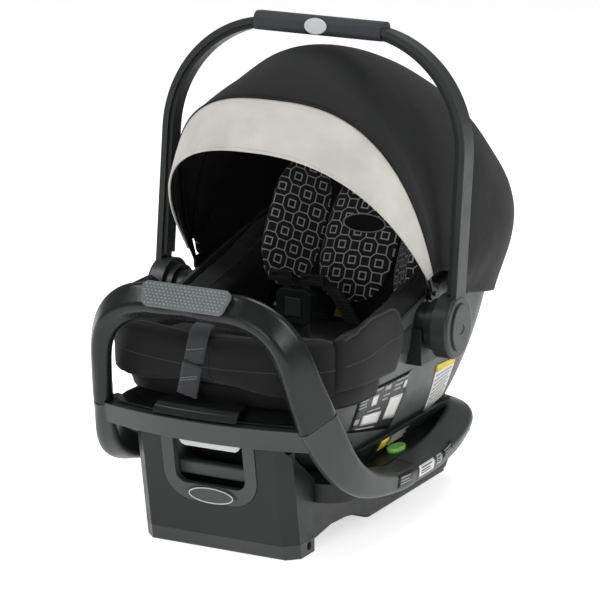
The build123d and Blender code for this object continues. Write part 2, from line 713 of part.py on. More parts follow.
def make_grip():
    """Soft grip around the top of the handle."""
    top = ARM_BEND_Z + ARM_BEND_R + 2 + GRIP_UP
    body = block((-GRIP_HALF, GRIP_HALF), (-GRIP_DEPTH / 2, GRIP_DEPTH / 2), (top - GRIP_T, top))
    body = fillet(body.edges().filter_by(Axis.X), 9)
    body = body - handle_slab(COVER_T, COVER_T + CHANNEL_T, CHANNEL_DEPTH)
    between = block((-300, GRIP_HALF - 2.05), (-100, 100), (-100, 600))
    body = body - both(handle_slab(0, COVER_T, ARM_DEPTH) - between)
    hole = Plane.XZ * Ellipse(BUTTON_W / 2 + RUN_GAP, BUTTON_H / 2 - 1 + RUN_GAP)
    pocket = Pos(0, -GRIP_DEPTH / 2 - 1, GRIP_MID) * extrude(hole, -4.5)
    return lean_back(body - pocket)


def make_grip_button():
    face = Plane.XZ * Ellipse(BUTTON_W / 2, BUTTON_H / 2 - 1)
    return lean_back(Pos(0, -GRIP_DEPTH / 2 + 0.4, GRIP_MID) * extrude(face, 2.6))


# ---------------------------------------------------------------- canopy
def canopy_arch(angle):
    """Half-width, height and squareness of the canopy's arch at an angle above the head-end axis."""
    stops = [
        # angle, half-width, height, squareness
        (-12, 176, 266, 4.0),
        (12, 186, 303, 4.5),
        (35, 185, 292, 3.9),
        (60, 182, 291, 2.9),
        (87, 180, 294, 2.85),
        (114, 180, 273, 2.8),
        (131, 177, 262, 2.5),
    ]
    for low, high in zip(stops, stops[1:]):
        if angle <= high[0]:
            share = (angle - low[0]) / (high[0] - low[0])
            return tuple(p + (q - p) * share for p, q in zip(low[1:], high[1:]))
    return 177, 262, 2.5


def arch_points(angle, inset, narrow, low):
    """Points of one arch from the axis on the right over the top to the left, in its own plane."""
    half, rise, power = canopy_arch(angle)
    half, rise = half - narrow, rise - inset
    points = [(half, low)]
    for step in range(1, 12):
        turn = math.pi * step / 12
        c, s = math.cos(turn), math.sin(turn)
        x = half * math.copysign(abs(c) ** (2 / power), c)
        points.append((x, max(low + 8, rise * s ** (2 / power))))
    points.append((-half, low))
    return points


def arch_face(angle, inset, narrow, thick, low):
    """A closed arch strip in the plane through the canopy axis."""
    outer = arch_points(angle, inset, narrow, low)
    inner = arch_points(angle, inset + thick, narrow + thick, low)
    ends = [Line(outer[-1], inner[-1]), Line(inner[0], outer[0])]
    face = make_face([Spline(*outer), ends[0], Spline(*inner[::-1]), ends[1]])
    up = Vector(0, math.cos(math.radians(angle)), math.sin(math.radians(angle)))
    plane = Plane(origin=(0, CANOPY_Y, CANOPY_Z), x_dir=(1, 0, 0), z_dir=Vector(1, 0, 0).cross(up))
    return (plane * face).face()


def canopy_panel(angles, inset, narrow, low):
    return loft([arch_face(a, inset, narrow, CANOPY_T, low) for a in angles])


def make_canopy_rear():
    return canopy_panel([REAR_START, 80, 60, 40, 20, REAR_END], 0, 0, 34)


def make_canopy_front():
    return canopy_panel([SEAM_ANGLE - 0.1, 108, REAR_START + 1], FRONT_DROP, FRONT_NARROW, 34)


def make_canopy_band():
    return canopy_panel([HEM_ANGLE, 122, SEAM_ANGLE], FRONT_DROP - 4, FRONT_NARROW, 34)


def make_canopy_frame():
    """Two springy bows that share an eye on each canopy pin."""
    drop, narrow = FRONT_DROP + CANOPY_T + 0.9, FRONT_NARROW + CANOPY_T + 0.9
    frame = None
    for angle in (SEAM_ANGLE - 1, HEM_ANGLE - BOW_T):
        up = Vector(0, math.cos(math.radians(angle)), math.sin(math.radians(angle)))
        bow = extrude(arch_face(angle, drop, narrow, 2.2, 2), BOW_T, dir=Vector(1, 0, 0).cross(up))
        frame = bow if frame is None else frame + bow
    frame = frame + both(rod_x(EYE_R, EYE_IN, EYE_OUT, CANOPY_Y, CANOPY_Z))
    return frame - rod_x(PIN_R + PIN_GAP, -200, 200, CANOPY_Y, CANOPY_Z)


# ---------------------------------------------------------------- base: body
def make_base_shell():
    """The base body: keel walls, arch and the tray that the carrier sits in."""
    low = [
        (FOOT_BACK + SEAT_GAP, TRAY_LOW),
        (FOOT_BACK + SEAT_GAP, ARCH_Z - 4),
        (-135, ARCH_Z + 2),
        (-96, ARCH_Z),
        (-72, ARCH_Z - 4),
        (KEEL_FRONT - 12, SOLE_T + 3),
        (KEEL_FRONT, SOLE_T),
        (KEEL_BACK, SOLE_T),
        (BASE_REAR, 24),
        (BASE_REAR, TRAY_LOW),
    ]
    keel = slab(low, -KEEL_HALF, KEEL_HALF)
    hollow = [
        (FOOT_BACK + 8, TRAY_LOW - 6),
        (FOOT_BACK + 8, ARCH_Z + 2),
        (-135, ARCH_Z + 2 + BASE_WALL),
        (-94, ARCH_Z + BASE_WALL),
        (-70, ARCH_Z),
        (KEEL_FRONT + 2, SOLE_T - 1),
        (KEEL_BACK - 6, SOLE_T - 1),
        (BASE_REAR - 5, 26),
        (BASE_REAR - 5, TRAY_LOW - 6),
    ]
    tray_mid = (FOOT_BACK + SEAT_GAP + BASE_REAR) / 2
    tray_len = BASE_REAR - FOOT_BACK - SEAT_GAP
    plan = RectangleRounded(2 * TRAY_HALF, tray_len, 40)
    tray = Pos(0, tray_mid, TRAY_LOW) * extrude(plan, TRAY_HIGH - TRAY_LOW)
    plan = RectangleRounded(2 * TRAY_HALF - 8, tray_len - 8, 36)
    under = Pos(0, tray_mid, TRAY_LOW - 1) * extrude(plan, 20)
    ring = under - block((-KEEL_HALF - 1, KEEL_HALF + 1), (-400, 400), (0, 200))
    solid = keel + tray - slab(hollow, -KEEL_HALF + BASE_WALL, KEEL_HALF - BASE_WALL) - ring
    collar = shell_block(-SEAT_FIT - COLLAR_T, -SEAT_FIT)
    collar = collar & block((-200, 200), COLLAR_Y, (TRAY_HIGH - 2, COLLAR_TOP))
    solid = (solid + collar) - shell_block(-SEAT_FIT, -SEAT_FIT)
    slots = block((LATCH_HALF - 12, LATCH_HALF + 16), (LATCH_Y - 24, LATCH_Y + 30), (30, 80))
    bridge = block((-LATCH_HALF - 16, LATCH_HALF + 16), (LATCH_Y - 14, LATCH_Y + 14), (40, 80))
    return solid - both(slots) - bridge - make_latch_rod() - make_front_rim() - make_rear_rim()


def make_sole_plate():
    plate = block((-KEEL_HALF, KEEL_HALF), (KEEL_FRONT, KEEL_BACK), (0, SOLE_T))
    return fillet(plate.edges().filter_by(Axis.Z), 6)


def make_level_indicator():
    """Oval bubble level on the tray's edge, right-hand side."""
    plane = Plane(origin=(132, -10, TRAY_HIGH), x_dir=(0, 1, 0), z_dir=(0, 0, 1))
    puck = extrude(plane * Ellipse(19, 10), 5)
    return fillet(puck.edges().group_by(Axis.Z)[-1], 2.5)


# ---------------------------------------------------------------- write every sub-part
def main():
    os.makedirs("parts", exist_ok=True)

    # base, fixed
    save("base_shell", make_base_shell())
    save("sole_plate", make_sole_plate())
    save("foot_housing", make_foot_housing())
    save("window_frame", make_window_frame())
    save("front_badge", make_badge())
    save("inner_bar", make_inner_bar())
    save("front_rim", make_front_rim())
    save("rear_rim", make_rear_rim())
    save("rebound_bar", make_rebound_bar())
    save("rebound_grip_pad", make_grip_pad())
    save("front_deck", make_front_deck())
    save("latch_rod", make_latch_rod())
    side_pair("level_indicator", make_level_indicator())

    # base, moving
    save("foot_bar", make_foot_bar())
    save("foot_slide", make_foot_slide())
    save("squeeze_handle", make_squeeze_handle())
    save("lock_bar", make_lock_bar())

    # carrier
    save("carrier_shell", make_carrier_shell())
    save("foam_liner", make_foam_liner())
    save("seat_pad", make_seat_pad())
    side_pair("side_pad", make_side_pad())
    save("front_roll", make_front_roll())
    side_pair("side_roll", make_side_roll())
    save("insert_back", make_insert_back())
    side_pair("insert_wing", make_insert_wing())
    side_pair("handle_mount", make_handle_mount())
    side_pair("canopy_mount", make_canopy_mount())

    # harness
    save("adjuster_strap", make_adjuster_strap())
    save("adjuster_housing", make_adjuster_housing())
    save("adjuster_lever", make_adjuster_lever())
    save("crotch_strap", make_crotch_strap())
    save("buckle", make_buckle())
    save("buckle_button", make_buckle_button())
    side_pair("tongue", make_tongue())
    side_pair("shoulder_strap", make_shoulder_strap())
    save("splitter_plate", make_splitter_plate())

    # latch
    save("latch_bracket", make_latch_bracket())
    save("latch_hooks", make_latch_hooks())
    save("release_housing", make_release_housing())
    save("release_handle", make_release_handle())

    # handle
    save("handle_channel", make_handle_channel())
    side_pair("handle_arm", make_handle_arm())
    side_pair("hub_cap", make_hub_cap())
    save("grip", make_grip())
    save("grip_button", make_grip_button())

    # canopy
    save("canopy_rear", make_canopy_rear())
    save("canopy_front", make_canopy_front())
    save("canopy_band", make_canopy_band())
    save("canopy_frame", make_canopy_frame())


if __name__ == "__main__":
    main()
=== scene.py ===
import bpy
import bmesh
import math
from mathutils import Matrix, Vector, noise
from mathutils.bvhtree import BVHTree


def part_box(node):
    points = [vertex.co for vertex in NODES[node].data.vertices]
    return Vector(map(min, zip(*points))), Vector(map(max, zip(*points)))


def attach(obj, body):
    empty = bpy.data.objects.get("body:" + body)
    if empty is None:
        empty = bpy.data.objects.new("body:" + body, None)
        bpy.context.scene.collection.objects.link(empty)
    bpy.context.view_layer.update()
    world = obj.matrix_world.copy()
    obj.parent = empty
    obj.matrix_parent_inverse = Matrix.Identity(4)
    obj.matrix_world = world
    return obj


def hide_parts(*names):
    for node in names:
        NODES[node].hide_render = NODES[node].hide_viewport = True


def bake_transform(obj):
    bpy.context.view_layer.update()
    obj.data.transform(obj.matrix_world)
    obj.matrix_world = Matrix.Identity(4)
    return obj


# Infant car seat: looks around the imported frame. Metres, origin on the floor under the handle
# axis, +X to the right, +Y from the foot end to the head end, +Z up.
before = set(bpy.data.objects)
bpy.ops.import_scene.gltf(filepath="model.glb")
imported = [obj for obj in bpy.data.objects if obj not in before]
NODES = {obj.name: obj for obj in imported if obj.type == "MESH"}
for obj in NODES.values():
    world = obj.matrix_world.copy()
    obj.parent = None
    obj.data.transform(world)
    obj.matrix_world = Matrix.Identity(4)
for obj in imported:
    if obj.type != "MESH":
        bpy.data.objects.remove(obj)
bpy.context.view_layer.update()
MM = 0.001


def mm(x, y, z):
    """A point given in millimetres."""
    return Vector((x, y, z)) * MM


# ---------------------------------------------------------------- node materials
class Shader:
    """A small builder for one procedural material."""

    def __init__(self, name, roughness=0.5, metallic=0.0, specular=0.5):
        self.material = bpy.data.materials.new(name)
        self.material.use_nodes = True
        self.tree = self.material.node_tree
        self.bsdf = self.tree.nodes["Principled BSDF"]
        self.coords = self.add("ShaderNodeTexCoord").outputs["Object"]
        self.set("Roughness", roughness)
        self.set("Metallic", metallic)
        self.set("Specular IOR Level", specular)

    def add(self, kind, **settings):
        node = self.tree.nodes.new(kind)
        for key, value in settings.items():
            setattr(node, key, value)
        return node

    def link(self, source, target):
        self.tree.links.new(source, target)

    def set(self, socket, value):
        self.bsdf.inputs[socket].default_value = value

    def feed(self, socket, source):
        self.link(source, self.bsdf.inputs[socket])

    def math(self, operation, *values):
        node = self.add("ShaderNodeMath", operation=operation)
        for socket, value in zip(node.inputs, values):
            if isinstance(value, (int, float)):
                socket.default_value = value
            else:
                self.link(value, socket)
        return node.outputs[0]

    def noise(self, scale, detail=2.0, vector=None):
        node = self.add("ShaderNodeTexNoise")
        node.inputs["Scale"].default_value = scale
        node.inputs["Detail"].default_value = detail
        self.link(vector or self.coords, node.inputs["Vector"])
        return node.outputs["Fac"]

    def spread(self, value, low, high, to_low=0.0, to_high=1.0):
        """Map a value's range onto another, clamped."""
        node = self.add("ShaderNodeMapRange")
        for socket, number in zip(list(node.inputs)[1:5], (low, high, to_low, to_high)):
            socket.default_value = number
        self.link(value, node.inputs[0])
        return node.outputs[0]

    def mix(self, factor, first, second):
        """Blend two colours, each an RGB tuple or a socket."""
        node = self.add("ShaderNodeMix", data_type="RGBA")
        self.link(factor, node.inputs[0])
        for socket, colour in zip((node.inputs[6], node.inputs[7]), (first, second)):
            if isinstance(colour, tuple):
                socket.default_value = (*colour, 1.0)
            else:
                self.link(colour, socket)
        return node.outputs[2]

    def bump(self, height, distance, strength=1.0, normal=None):
        node = self.add("ShaderNodeBump")
        node.inputs["Distance"].default_value = distance
        node.inputs["Strength"].default_value = strength
        self.link(height, node.inputs["Height"])
        if normal is not None:
            self.link(normal, node.inputs["Normal"])
        return node.outputs["Normal"]

    def axes(self, vector=None):
        node = self.add("ShaderNodeSeparateXYZ")
        self.link(vector or self.coords, node.inputs[0])
        return node.outputs[0], node.outputs[1], node.outputs[2]


def shade(colour, factor):
    return tuple(min(1.0, c * factor) for c in colour)


SHINE = 0.36


def plastic(name, colour, roughness=0.45, grain=0.00006, edge=0.0014, edge_highlight=1.35, coat=0.0):
    """Moulded plastic: fine grain, faint mottling, soft corners that catch the light, with a painted
    highlight that lightens their colour.
    """
    s = Shader(name, roughness)
    soft = s.add("ShaderNodeBevel", samples=6)
    soft.inputs["Radius"].default_value = edge
    flat = s.add("ShaderNodeNewGeometry")
    dot = s.add("ShaderNodeVectorMath", operation="DOT_PRODUCT")
    s.link(soft.outputs[0], dot.inputs[0])
    s.link(flat.outputs["Normal"], dot.inputs[1])
    corner = s.spread(dot.outputs["Value"], 0.995, 0.86)
    cloud = s.spread(s.noise(9.0, 3.0), 0.3, 0.7)
    body = s.mix(cloud, shade(colour, 0.9), shade(colour, 1.1))
    # Corners get a lighter colour: a painted highlight where they catch the light.
    s.feed("Base Color", s.mix(corner, body, shade(colour, edge_highlight)))
    s.feed("Roughness", s.spread(s.noise(55.0, 3.0), 0.3, 0.7, roughness - 0.05, roughness + 0.06))
    fine = s.noise(1900.0, 2.0)
    coarse = s.noise(620.0, 2.0)
    height = s.math("ADD", fine, s.math("MULTIPLY", coarse, 0.7))
    s.feed("Normal", s.bump(height, grain, 1.0, soft.outputs[0]))
    s.set("Specular IOR Level", SHINE)
    if coat:
        s.set("Coat Weight", coat)
        s.set("Coat Roughness", 0.08)
    return s.material


def metal(name, colour, roughness=0.3):
    """Plated steel with a fine brushed line."""
    s = Shader(name, roughness, 1.0)
    x, y, z = s.axes()
    stretched = s.add("ShaderNodeCombineXYZ")
    s.link(s.math("MULTIPLY", x, 0.05), stretched.inputs[0])
    s.link(y, stretched.inputs[1])
    s.link(z, stretched.inputs[2])
    line = s.noise(2600.0, 2.0, stretched.outputs[0])
    s.feed("Base Color", s.mix(s.noise(40.0), shade(colour, 0.85), shade(colour, 1.1)))
    s.feed("Roughness", s.spread(line, 0.3, 0.7, roughness - 0.08, roughness + 0.1))
    s.feed("Normal", s.bump(line, 0.00003))
    return s.material


def cloth_height(s, pitch, slant=0.35):
    """Height of a plain weave whose two yarns run with X and round the piece."""
    x, y, z = s.axes()
    turn = 2 * math.pi / pitch
    warp = s.math("SINE", s.math("MULTIPLY", s.math("ADD", x, s.math("MULTIPLY", y, slant)), turn))
    run = s.math("ADD", s.math("MULTIPLY", y, 0.66), s.math("MULTIPLY", z, 0.75))
    weft = s.math("SINE", s.math("MULTIPLY", run, turn))
    return s.math("MULTIPLY", warp, weft)


def fabric(name, colour, pitch=0.0011, depth=0.00012, roughness=0.85, sheen=0.35, crease=0.0008):
    """Woven or knitted cloth with a yarn pitch, soft rumples and a sheen."""
    s = Shader(name, roughness, 0.0, 0.25)
    yarn = cloth_height(s, pitch)
    cloud = s.spread(s.noise(24.0, 3.0), 0.3, 0.7)
    base = s.mix(cloud, shade(colour, 0.82), shade(colour, 1.12))
    # The colour darkens in the hollows of the weave: painted shade.
    s.feed("Base Color", s.mix(s.spread(yarn, -1.0, 1.0), shade(colour, 0.8), base))
    rumple = s.bump(s.noise(26.0, 2.0), crease)
    s.feed("Normal", s.bump(yarn, depth, 1.0, rumple))
    s.set("Sheen Weight", sheen)
    s.set("Sheen Roughness", 0.45)
    s.set("Sheen Tint", (*(min(1.0, 0.35 + c) for c in colour), 1.0))
    return s.material


def ribbed(name, colour, pitch=0.0022):
    """Webbing with ribs across its width."""
    s = Shader(name, 0.6, 0.0, 0.4)
    x, y, z = s.axes()
    run = s.math("ADD", s.math("MULTIPLY", y, 0.7), z)
    rib = s.math("SINE", s.math("MULTIPLY", run, 2 * math.pi / pitch))
    cross = s.math("SINE", s.math("MULTIPLY", x, 2 * math.pi / (pitch * 0.6)))
    height = s.math("ADD", rib, s.math("MULTIPLY", cross, 0.5))
    # Ribs are lighter on their crests and darker in their troughs: painted highlight and painted shade.
    s.feed("Base Color", s.mix(s.spread(height, -1.5, 1.5), shade(colour, 0.7), shade(colour, 1.3)))
    s.feed("Normal", s.bump(height, 0.00018))
    s.set("Sheen Weight", 0.25)
    return s.material


# Lattice of the insert: octagons that touch at their slanted sides, squares between them,
# and a smaller square inside each octagon.
CELL = 0.0264
GAP_SQUARE = 0.0088
INNER_SQUARE = 0.0066
LINE = 0.0008


def lattice_mask(s):
    """1 on the pale lines of the insert's lattice, 0 elsewhere, from the piece's UV in metres."""
    uv = s.add("ShaderNodeTexCoord").outputs["UV"]
    u, v, _ = s.axes(uv)
    root = math.sqrt(0.5)
    a = s.math("MULTIPLY", s.math("ADD", u, v), root)
    b = s.math("MULTIPLY", s.math("SUBTRACT", u, v), root)

    def folded(value):
        """Distance from the nearest octagon's centre line."""
        return s.math("ABSOLUTE", s.math("WRAP", value, CELL / 2, -CELL / 2))

    fa, fb = folded(a), folded(b)
    ha = s.math("SUBTRACT", CELL / 2, fa)
    hb = s.math("SUBTRACT", CELL / 2, fb)
    corner = s.math("ADD", ha, hb)
    inner = s.math("ADD", fa, fb)
    outside = s.math("GREATER_THAN", corner, GAP_SQUARE)
    side = s.math("LESS_THAN", s.math("MINIMUM", ha, hb), LINE * 0.8)
    wall = s.math("MULTIPLY", side, outside)
    gap = s.math("LESS_THAN", s.math("ABSOLUTE", s.math("SUBTRACT", corner, GAP_SQUARE)), LINE * 1.3)
    core = s.math("LESS_THAN", s.math("ABSOLUTE", s.math("SUBTRACT", inner, INNER_SQUARE)), LINE * 1.5)
    return s.math("MAXIMUM", s.math("MAXIMUM", wall, gap), core)


def lattice_fabric(name):
    """Charcoal knit with a pale printed lattice."""
    s = Shader(name, 0.85, 0.0, 0.25)
    lines = lattice_mask(s)
    yarn = cloth_height(s, 0.0010)
    # The ground darkens in the hollows of the knit: painted shade.
    ground = s.mix(s.spread(yarn, -1.0, 1.0), (0.024, 0.025, 0.026), (0.046, 0.047, 0.048))
    thread = s.mix(s.spread(s.noise(900.0), 0.3, 0.7), (0.66, 0.67, 0.65), (0.84, 0.85, 0.83))
    s.feed("Base Color", s.mix(lines, ground, thread))
    height = s.math("ADD", s.math("MULTIPLY", lines, 1.4), s.math("MULTIPLY", yarn, 0.35))
    s.feed("Normal", s.bump(height, 0.00022, 1.0, s.bump(s.noise(30.0), 0.0008)))
    s.set("Sheen Weight", 0.2)
    return s.material


LOOKS = {
    "base": plastic("base_moulding", (0.034, 0.042, 0.039), 0.36),
    "frame": plastic("frame_moulding", (0.05, 0.061, 0.057), 0.4),
    "bar": plastic("rebound_moulding", (0.008, 0.0105, 0.0098), 0.27),
    "dark": plastic("dark_moulding", (0.0085, 0.0105, 0.0098), 0.4),
    "gloss": plastic("gloss_moulding", (0.008, 0.009, 0.009), 0.2, 0.00002, 0.0014, 1.3, 0.5),
    "shell": plastic("shell_moulding", (0.066, 0.077, 0.073), 0.42),
    "handle": plastic("handle_moulding", (0.022, 0.027, 0.0255), 0.34),
    "grip": plastic("soft_grip", (0.034, 0.039, 0.04), 0.6, 0.00012),
    "pad_rubber": plastic("pad_rubber", (0.12, 0.145, 0.14), 0.6, 0.0001),
    "pad_bump": plastic("pad_bump", (0.21, 0.245, 0.24), 0.5, 0.00005),
    "pale": plastic("pale_moulding", (0.58, 0.61, 0.61), 0.4),
    "green": plastic("level_bubble", (0.22, 0.62, 0.12), 0.15, 0.00001, 0.001, 1.2, 0.6),
    "button": plastic("release_button", (0.03, 0.033, 0.034), 0.3),
    "foam": plastic("bead_foam", (0.62, 0.62, 0.6), 0.8, 0.0003),
    "steel": metal("plated_steel", (0.56, 0.56, 0.55)),
    "pad": fabric("pad_jersey", (0.0085, 0.0092, 0.0088), 0.0011, 0.0001, 0.8, 0.3),
    "mesh_cloth": fabric("pad_side_cloth", (0.013, 0.0145, 0.0138), 0.0016, 0.0002, 0.8, 0.3),
    "canopy": fabric("canopy_cloth", (0.0062, 0.0072, 0.0067), 0.0007, 0.00006, 0.75, 0.2, 0.0012),
    "band": fabric("band_cloth", (0.68, 0.665, 0.60), 0.0008, 0.00008, 0.85, 0.3, 0.0009),
    "webbing": ribbed("webbing", (0.022, 0.024, 0.026)),
    "thread": fabric("thread", (0.05, 0.052, 0.054), 0.0006, 0.0001),
    "piping": fabric("piping_cord", (0.03, 0.031, 0.033), 0.0008, 0.0001, 0.5),
    "pale_thread": fabric("pale_thread", (0.6, 0.6, 0.59), 0.0006, 0.0001, 0.6),
    "insert": lattice_fabric("insert_knit"),
    "emblem": fabric("emblem_cloth", (0.018, 0.018, 0.019), 0.0008, 0.0001),
    "white_label": plastic("label_white", (0.72, 0.72, 0.7), 0.45, 0.00002),
    "grey_label": plastic("label_grey", (0.35, 0.36, 0.36), 0.45, 0.00002),
    "black_label": plastic("label_black", (0.01, 0.01, 0.011), 0.35, 0.00002),
    "yellow_label": plastic("label_yellow", (0.72, 0.55, 0.03), 0.45, 0.00002),
}

NODE_LOOKS = {
    "base": ["foot_bar", "foot_slide", "front_rim", "rear_rim", "sole_plate"],
    "frame": ["window_frame", "inner_bar", "front_badge"],
    "bar": ["rebound_bar"],
    "dark": ["base_shell", "foot_housing", "tongue_left", "tongue_right", "handle_mount_left",
             "handle_mount_right", "canopy_mount_left", "canopy_mount_right", "handle_channel",
             "latch_bracket", "latch_hooks", "canopy_frame", "buckle", "release_housing",
             "release_handle"],
    "gloss": ["front_deck"],
    "shell": ["carrier_shell"],
    "handle": ["handle_arm_left", "handle_arm_right", "hub_cap_left", "hub_cap_right"],
    "grip": ["grip"],
    "pad_rubber": ["rebound_grip_pad"],
    "pale": ["squeeze_handle", "grip_button"],
    "green": ["level_indicator_left", "level_indicator_right"],
    "button": ["buckle_button"],
    "foam": ["foam_liner"],
    "steel": ["latch_rod", "lock_bar", "splitter_plate",
              "adjuster_housing", "adjuster_lever"],
}
for look, names in NODE_LOOKS.items():
    for name in names:
        data = NODES[name].data
        data.materials.clear()
        data.materials.append(LOOKS[look])


# ---------------------------------------------------------------- mesh helpers
def mesh_object(name, points, faces, look, uvs=None, smooth=True):
    """A new mesh object from points and faces, with a material and optional UV by point."""
    data = bpy.data.meshes.new(name)
    data.from_pydata([tuple(p) for p in points], [], faces)
    if smooth:
        data.polygons.foreach_set("use_smooth", [True] * len(data.polygons))
    if uvs:
        layer = data.uv_layers.new(name="cloth")
        for loop in data.loops:
            layer.data[loop.index].uv = uvs[loop.vertex_index]
    data.materials.append(LOOKS[look])
    obj = bpy.data.objects.new(name, data)
    bpy.context.scene.collection.objects.link(obj)
    return obj


def place(obj, body):
    """Ride on a body."""
    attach(obj, body)
    return obj


def add_modifier(obj, kind, **settings):
    modifier = obj.modifiers.new(kind.lower(), kind)
    for key, value in settings.items():
        setattr(modifier, key, value)
    return modifier


def bake(obj):
    """Replace the object's mesh with its evaluated one."""
    graph = bpy.context.evaluated_depsgraph_get()
    graph.update()
    data = bpy.data.meshes.new_from_object(obj.evaluated_get(graph))
    old = obj.data
    obj.modifiers.clear()
    obj.data = data
    bpy.data.meshes.remove(old)
    return obj


def turn_outward(data):
    """Make every face of a closed mesh look outward."""
    work = bmesh.new()
    work.from_mesh(data)
    bmesh.ops.recalc_face_normals(work, faces=work.faces)
    work.to_mesh(data)
    work.free()


def grid(name, rows, look, closed=False, caps=False, uvs=None):
    """A surface through rows of points; `closed` joins each row's ends."""
    count = len(rows[0])
    points = [p for row in rows for p in row]
    faces = []
    span = count if closed else count - 1
    for i in range(len(rows) - 1):
        for j in range(span):
            k = (j + 1) % count
            faces.append((i * count + j, i * count + k, (i + 1) * count + k, (i + 1) * count + j))
    if caps:
        last = (len(rows) - 1) * count
        faces.append(tuple(range(count))[::-1])
        faces.append(tuple(last + j for j in range(count)))
    flat = [uv for row in uvs for uv in row] if uvs else None
    obj = mesh_object(name, points, faces, look, flat)
    if closed and caps:
        turn_outward(obj.data)
    return obj


def smooth_line(points, per=8, closed=False):
    """Points along a Catmull-Rom curve through the given ones."""
    pts = [Vector(p) for p in points]
    count = len(pts)
    out = []
    spans = count if closed else count - 1
    for i in range(spans):
        if closed:
            a, b, c, d = (pts[(i + k) % count] for k in (-1, 0, 1, 2))
        else:
            a, b, c, d = (pts[min(max(i + k, 0), count - 1)] for k in (-1, 0, 1, 2))
        for step in range(per):
            t = step / per
            out.append(0.5 * ((2 * b) + (c - a) * t + (2 * a - 5 * b + 4 * c - d) * t * t
                              + (3 * b - a - 3 * c + d) * t ** 3))
    if not closed:
        out.append(pts[-1])
    return out


def even(points, count):
    """Resample a line to evenly spaced points."""
    lengths = [0.0]
    for a, b in zip(points, points[1:]):
        lengths.append(lengths[-1] + (b - a).length)
    out, k = [], 0
    for i in range(count):
        goal = lengths[-1] * i / (count - 1)
        while k < len(points) - 2 and lengths[k + 1] < goal:
            k += 1
        span = lengths[k + 1] - lengths[k] or 1.0
        share = min(max((goal - lengths[k]) / span, 0.0), 1.0)
        out.append(points[k].lerp(points[k + 1], share))
    return out


def tube(name, points, radius, look, sides=8, closed=False):
    """A round tube along points, for piping and seams."""
    rows = []
    count = len(points)
    normal = None
    for i, p in enumerate(points):
        ahead = points[(i + 1) % count] if closed else points[min(i + 1, count - 1)]
        behind = points[i - 1] if (closed or i) else p
        t = (ahead - behind).normalized()
        if normal is None:
            normal = t.orthogonal().normalized()
        normal = (normal - t * normal.dot(t)).normalized()
        other = t.cross(normal)
        turns = [2 * math.pi * k / sides for k in range(sides)]
        rows.append([p + normal * (math.cos(a) * radius) + other * (math.sin(a) * radius) for a in turns])
    if closed:
        rows.append(rows[0])
    return grid(name, rows, look, True, not closed)


def ribbon(name, points, wides, width, thick, look, sag=0.0):
    """A flat strap: a lens-shaped section swept along points, wide towards `wides`."""
    rows = []
    for i, p in enumerate(points):
        t = (points[min(i + 1, len(points) - 1)] - points[max(i - 1, 0)]).normalized()
        w = wides[i] if isinstance(wides, list) else wides
        w = (w - t * w.dot(t)).normalized()
        n = t.cross(w)
        shape = [(-0.5, 0.0), (-0.48, 0.42), (-0.3, 0.5), (0.0, 0.5 + sag), (0.3, 0.5), (0.48, 0.42),
                 (0.5, 0.0), (0.48, -0.42), (0.3, -0.5), (0.0, -0.5), (-0.3, -0.5), (-0.48, -0.42)]
        rows.append([p + w * (a * width) + n * (b * thick) for a, b in shape])
    return grid(name, rows, look, True, True)


def tree_of(obj):
    graph = bpy.context.evaluated_depsgraph_get()
    graph.update()
    return BVHTree.FromObject(obj, graph)


def on_surface(tree, points, lift=0.0):
    """Move points to the nearest place on a surface, plus a small lift."""
    out = []
    for p in points:
        hit, normal, _, _ = tree.find_nearest(p)
        out.append(hit + normal * lift)
    return out


# ---------------------------------------------------------------- camera, light, floor
ROOM_LIGHT = 0.26


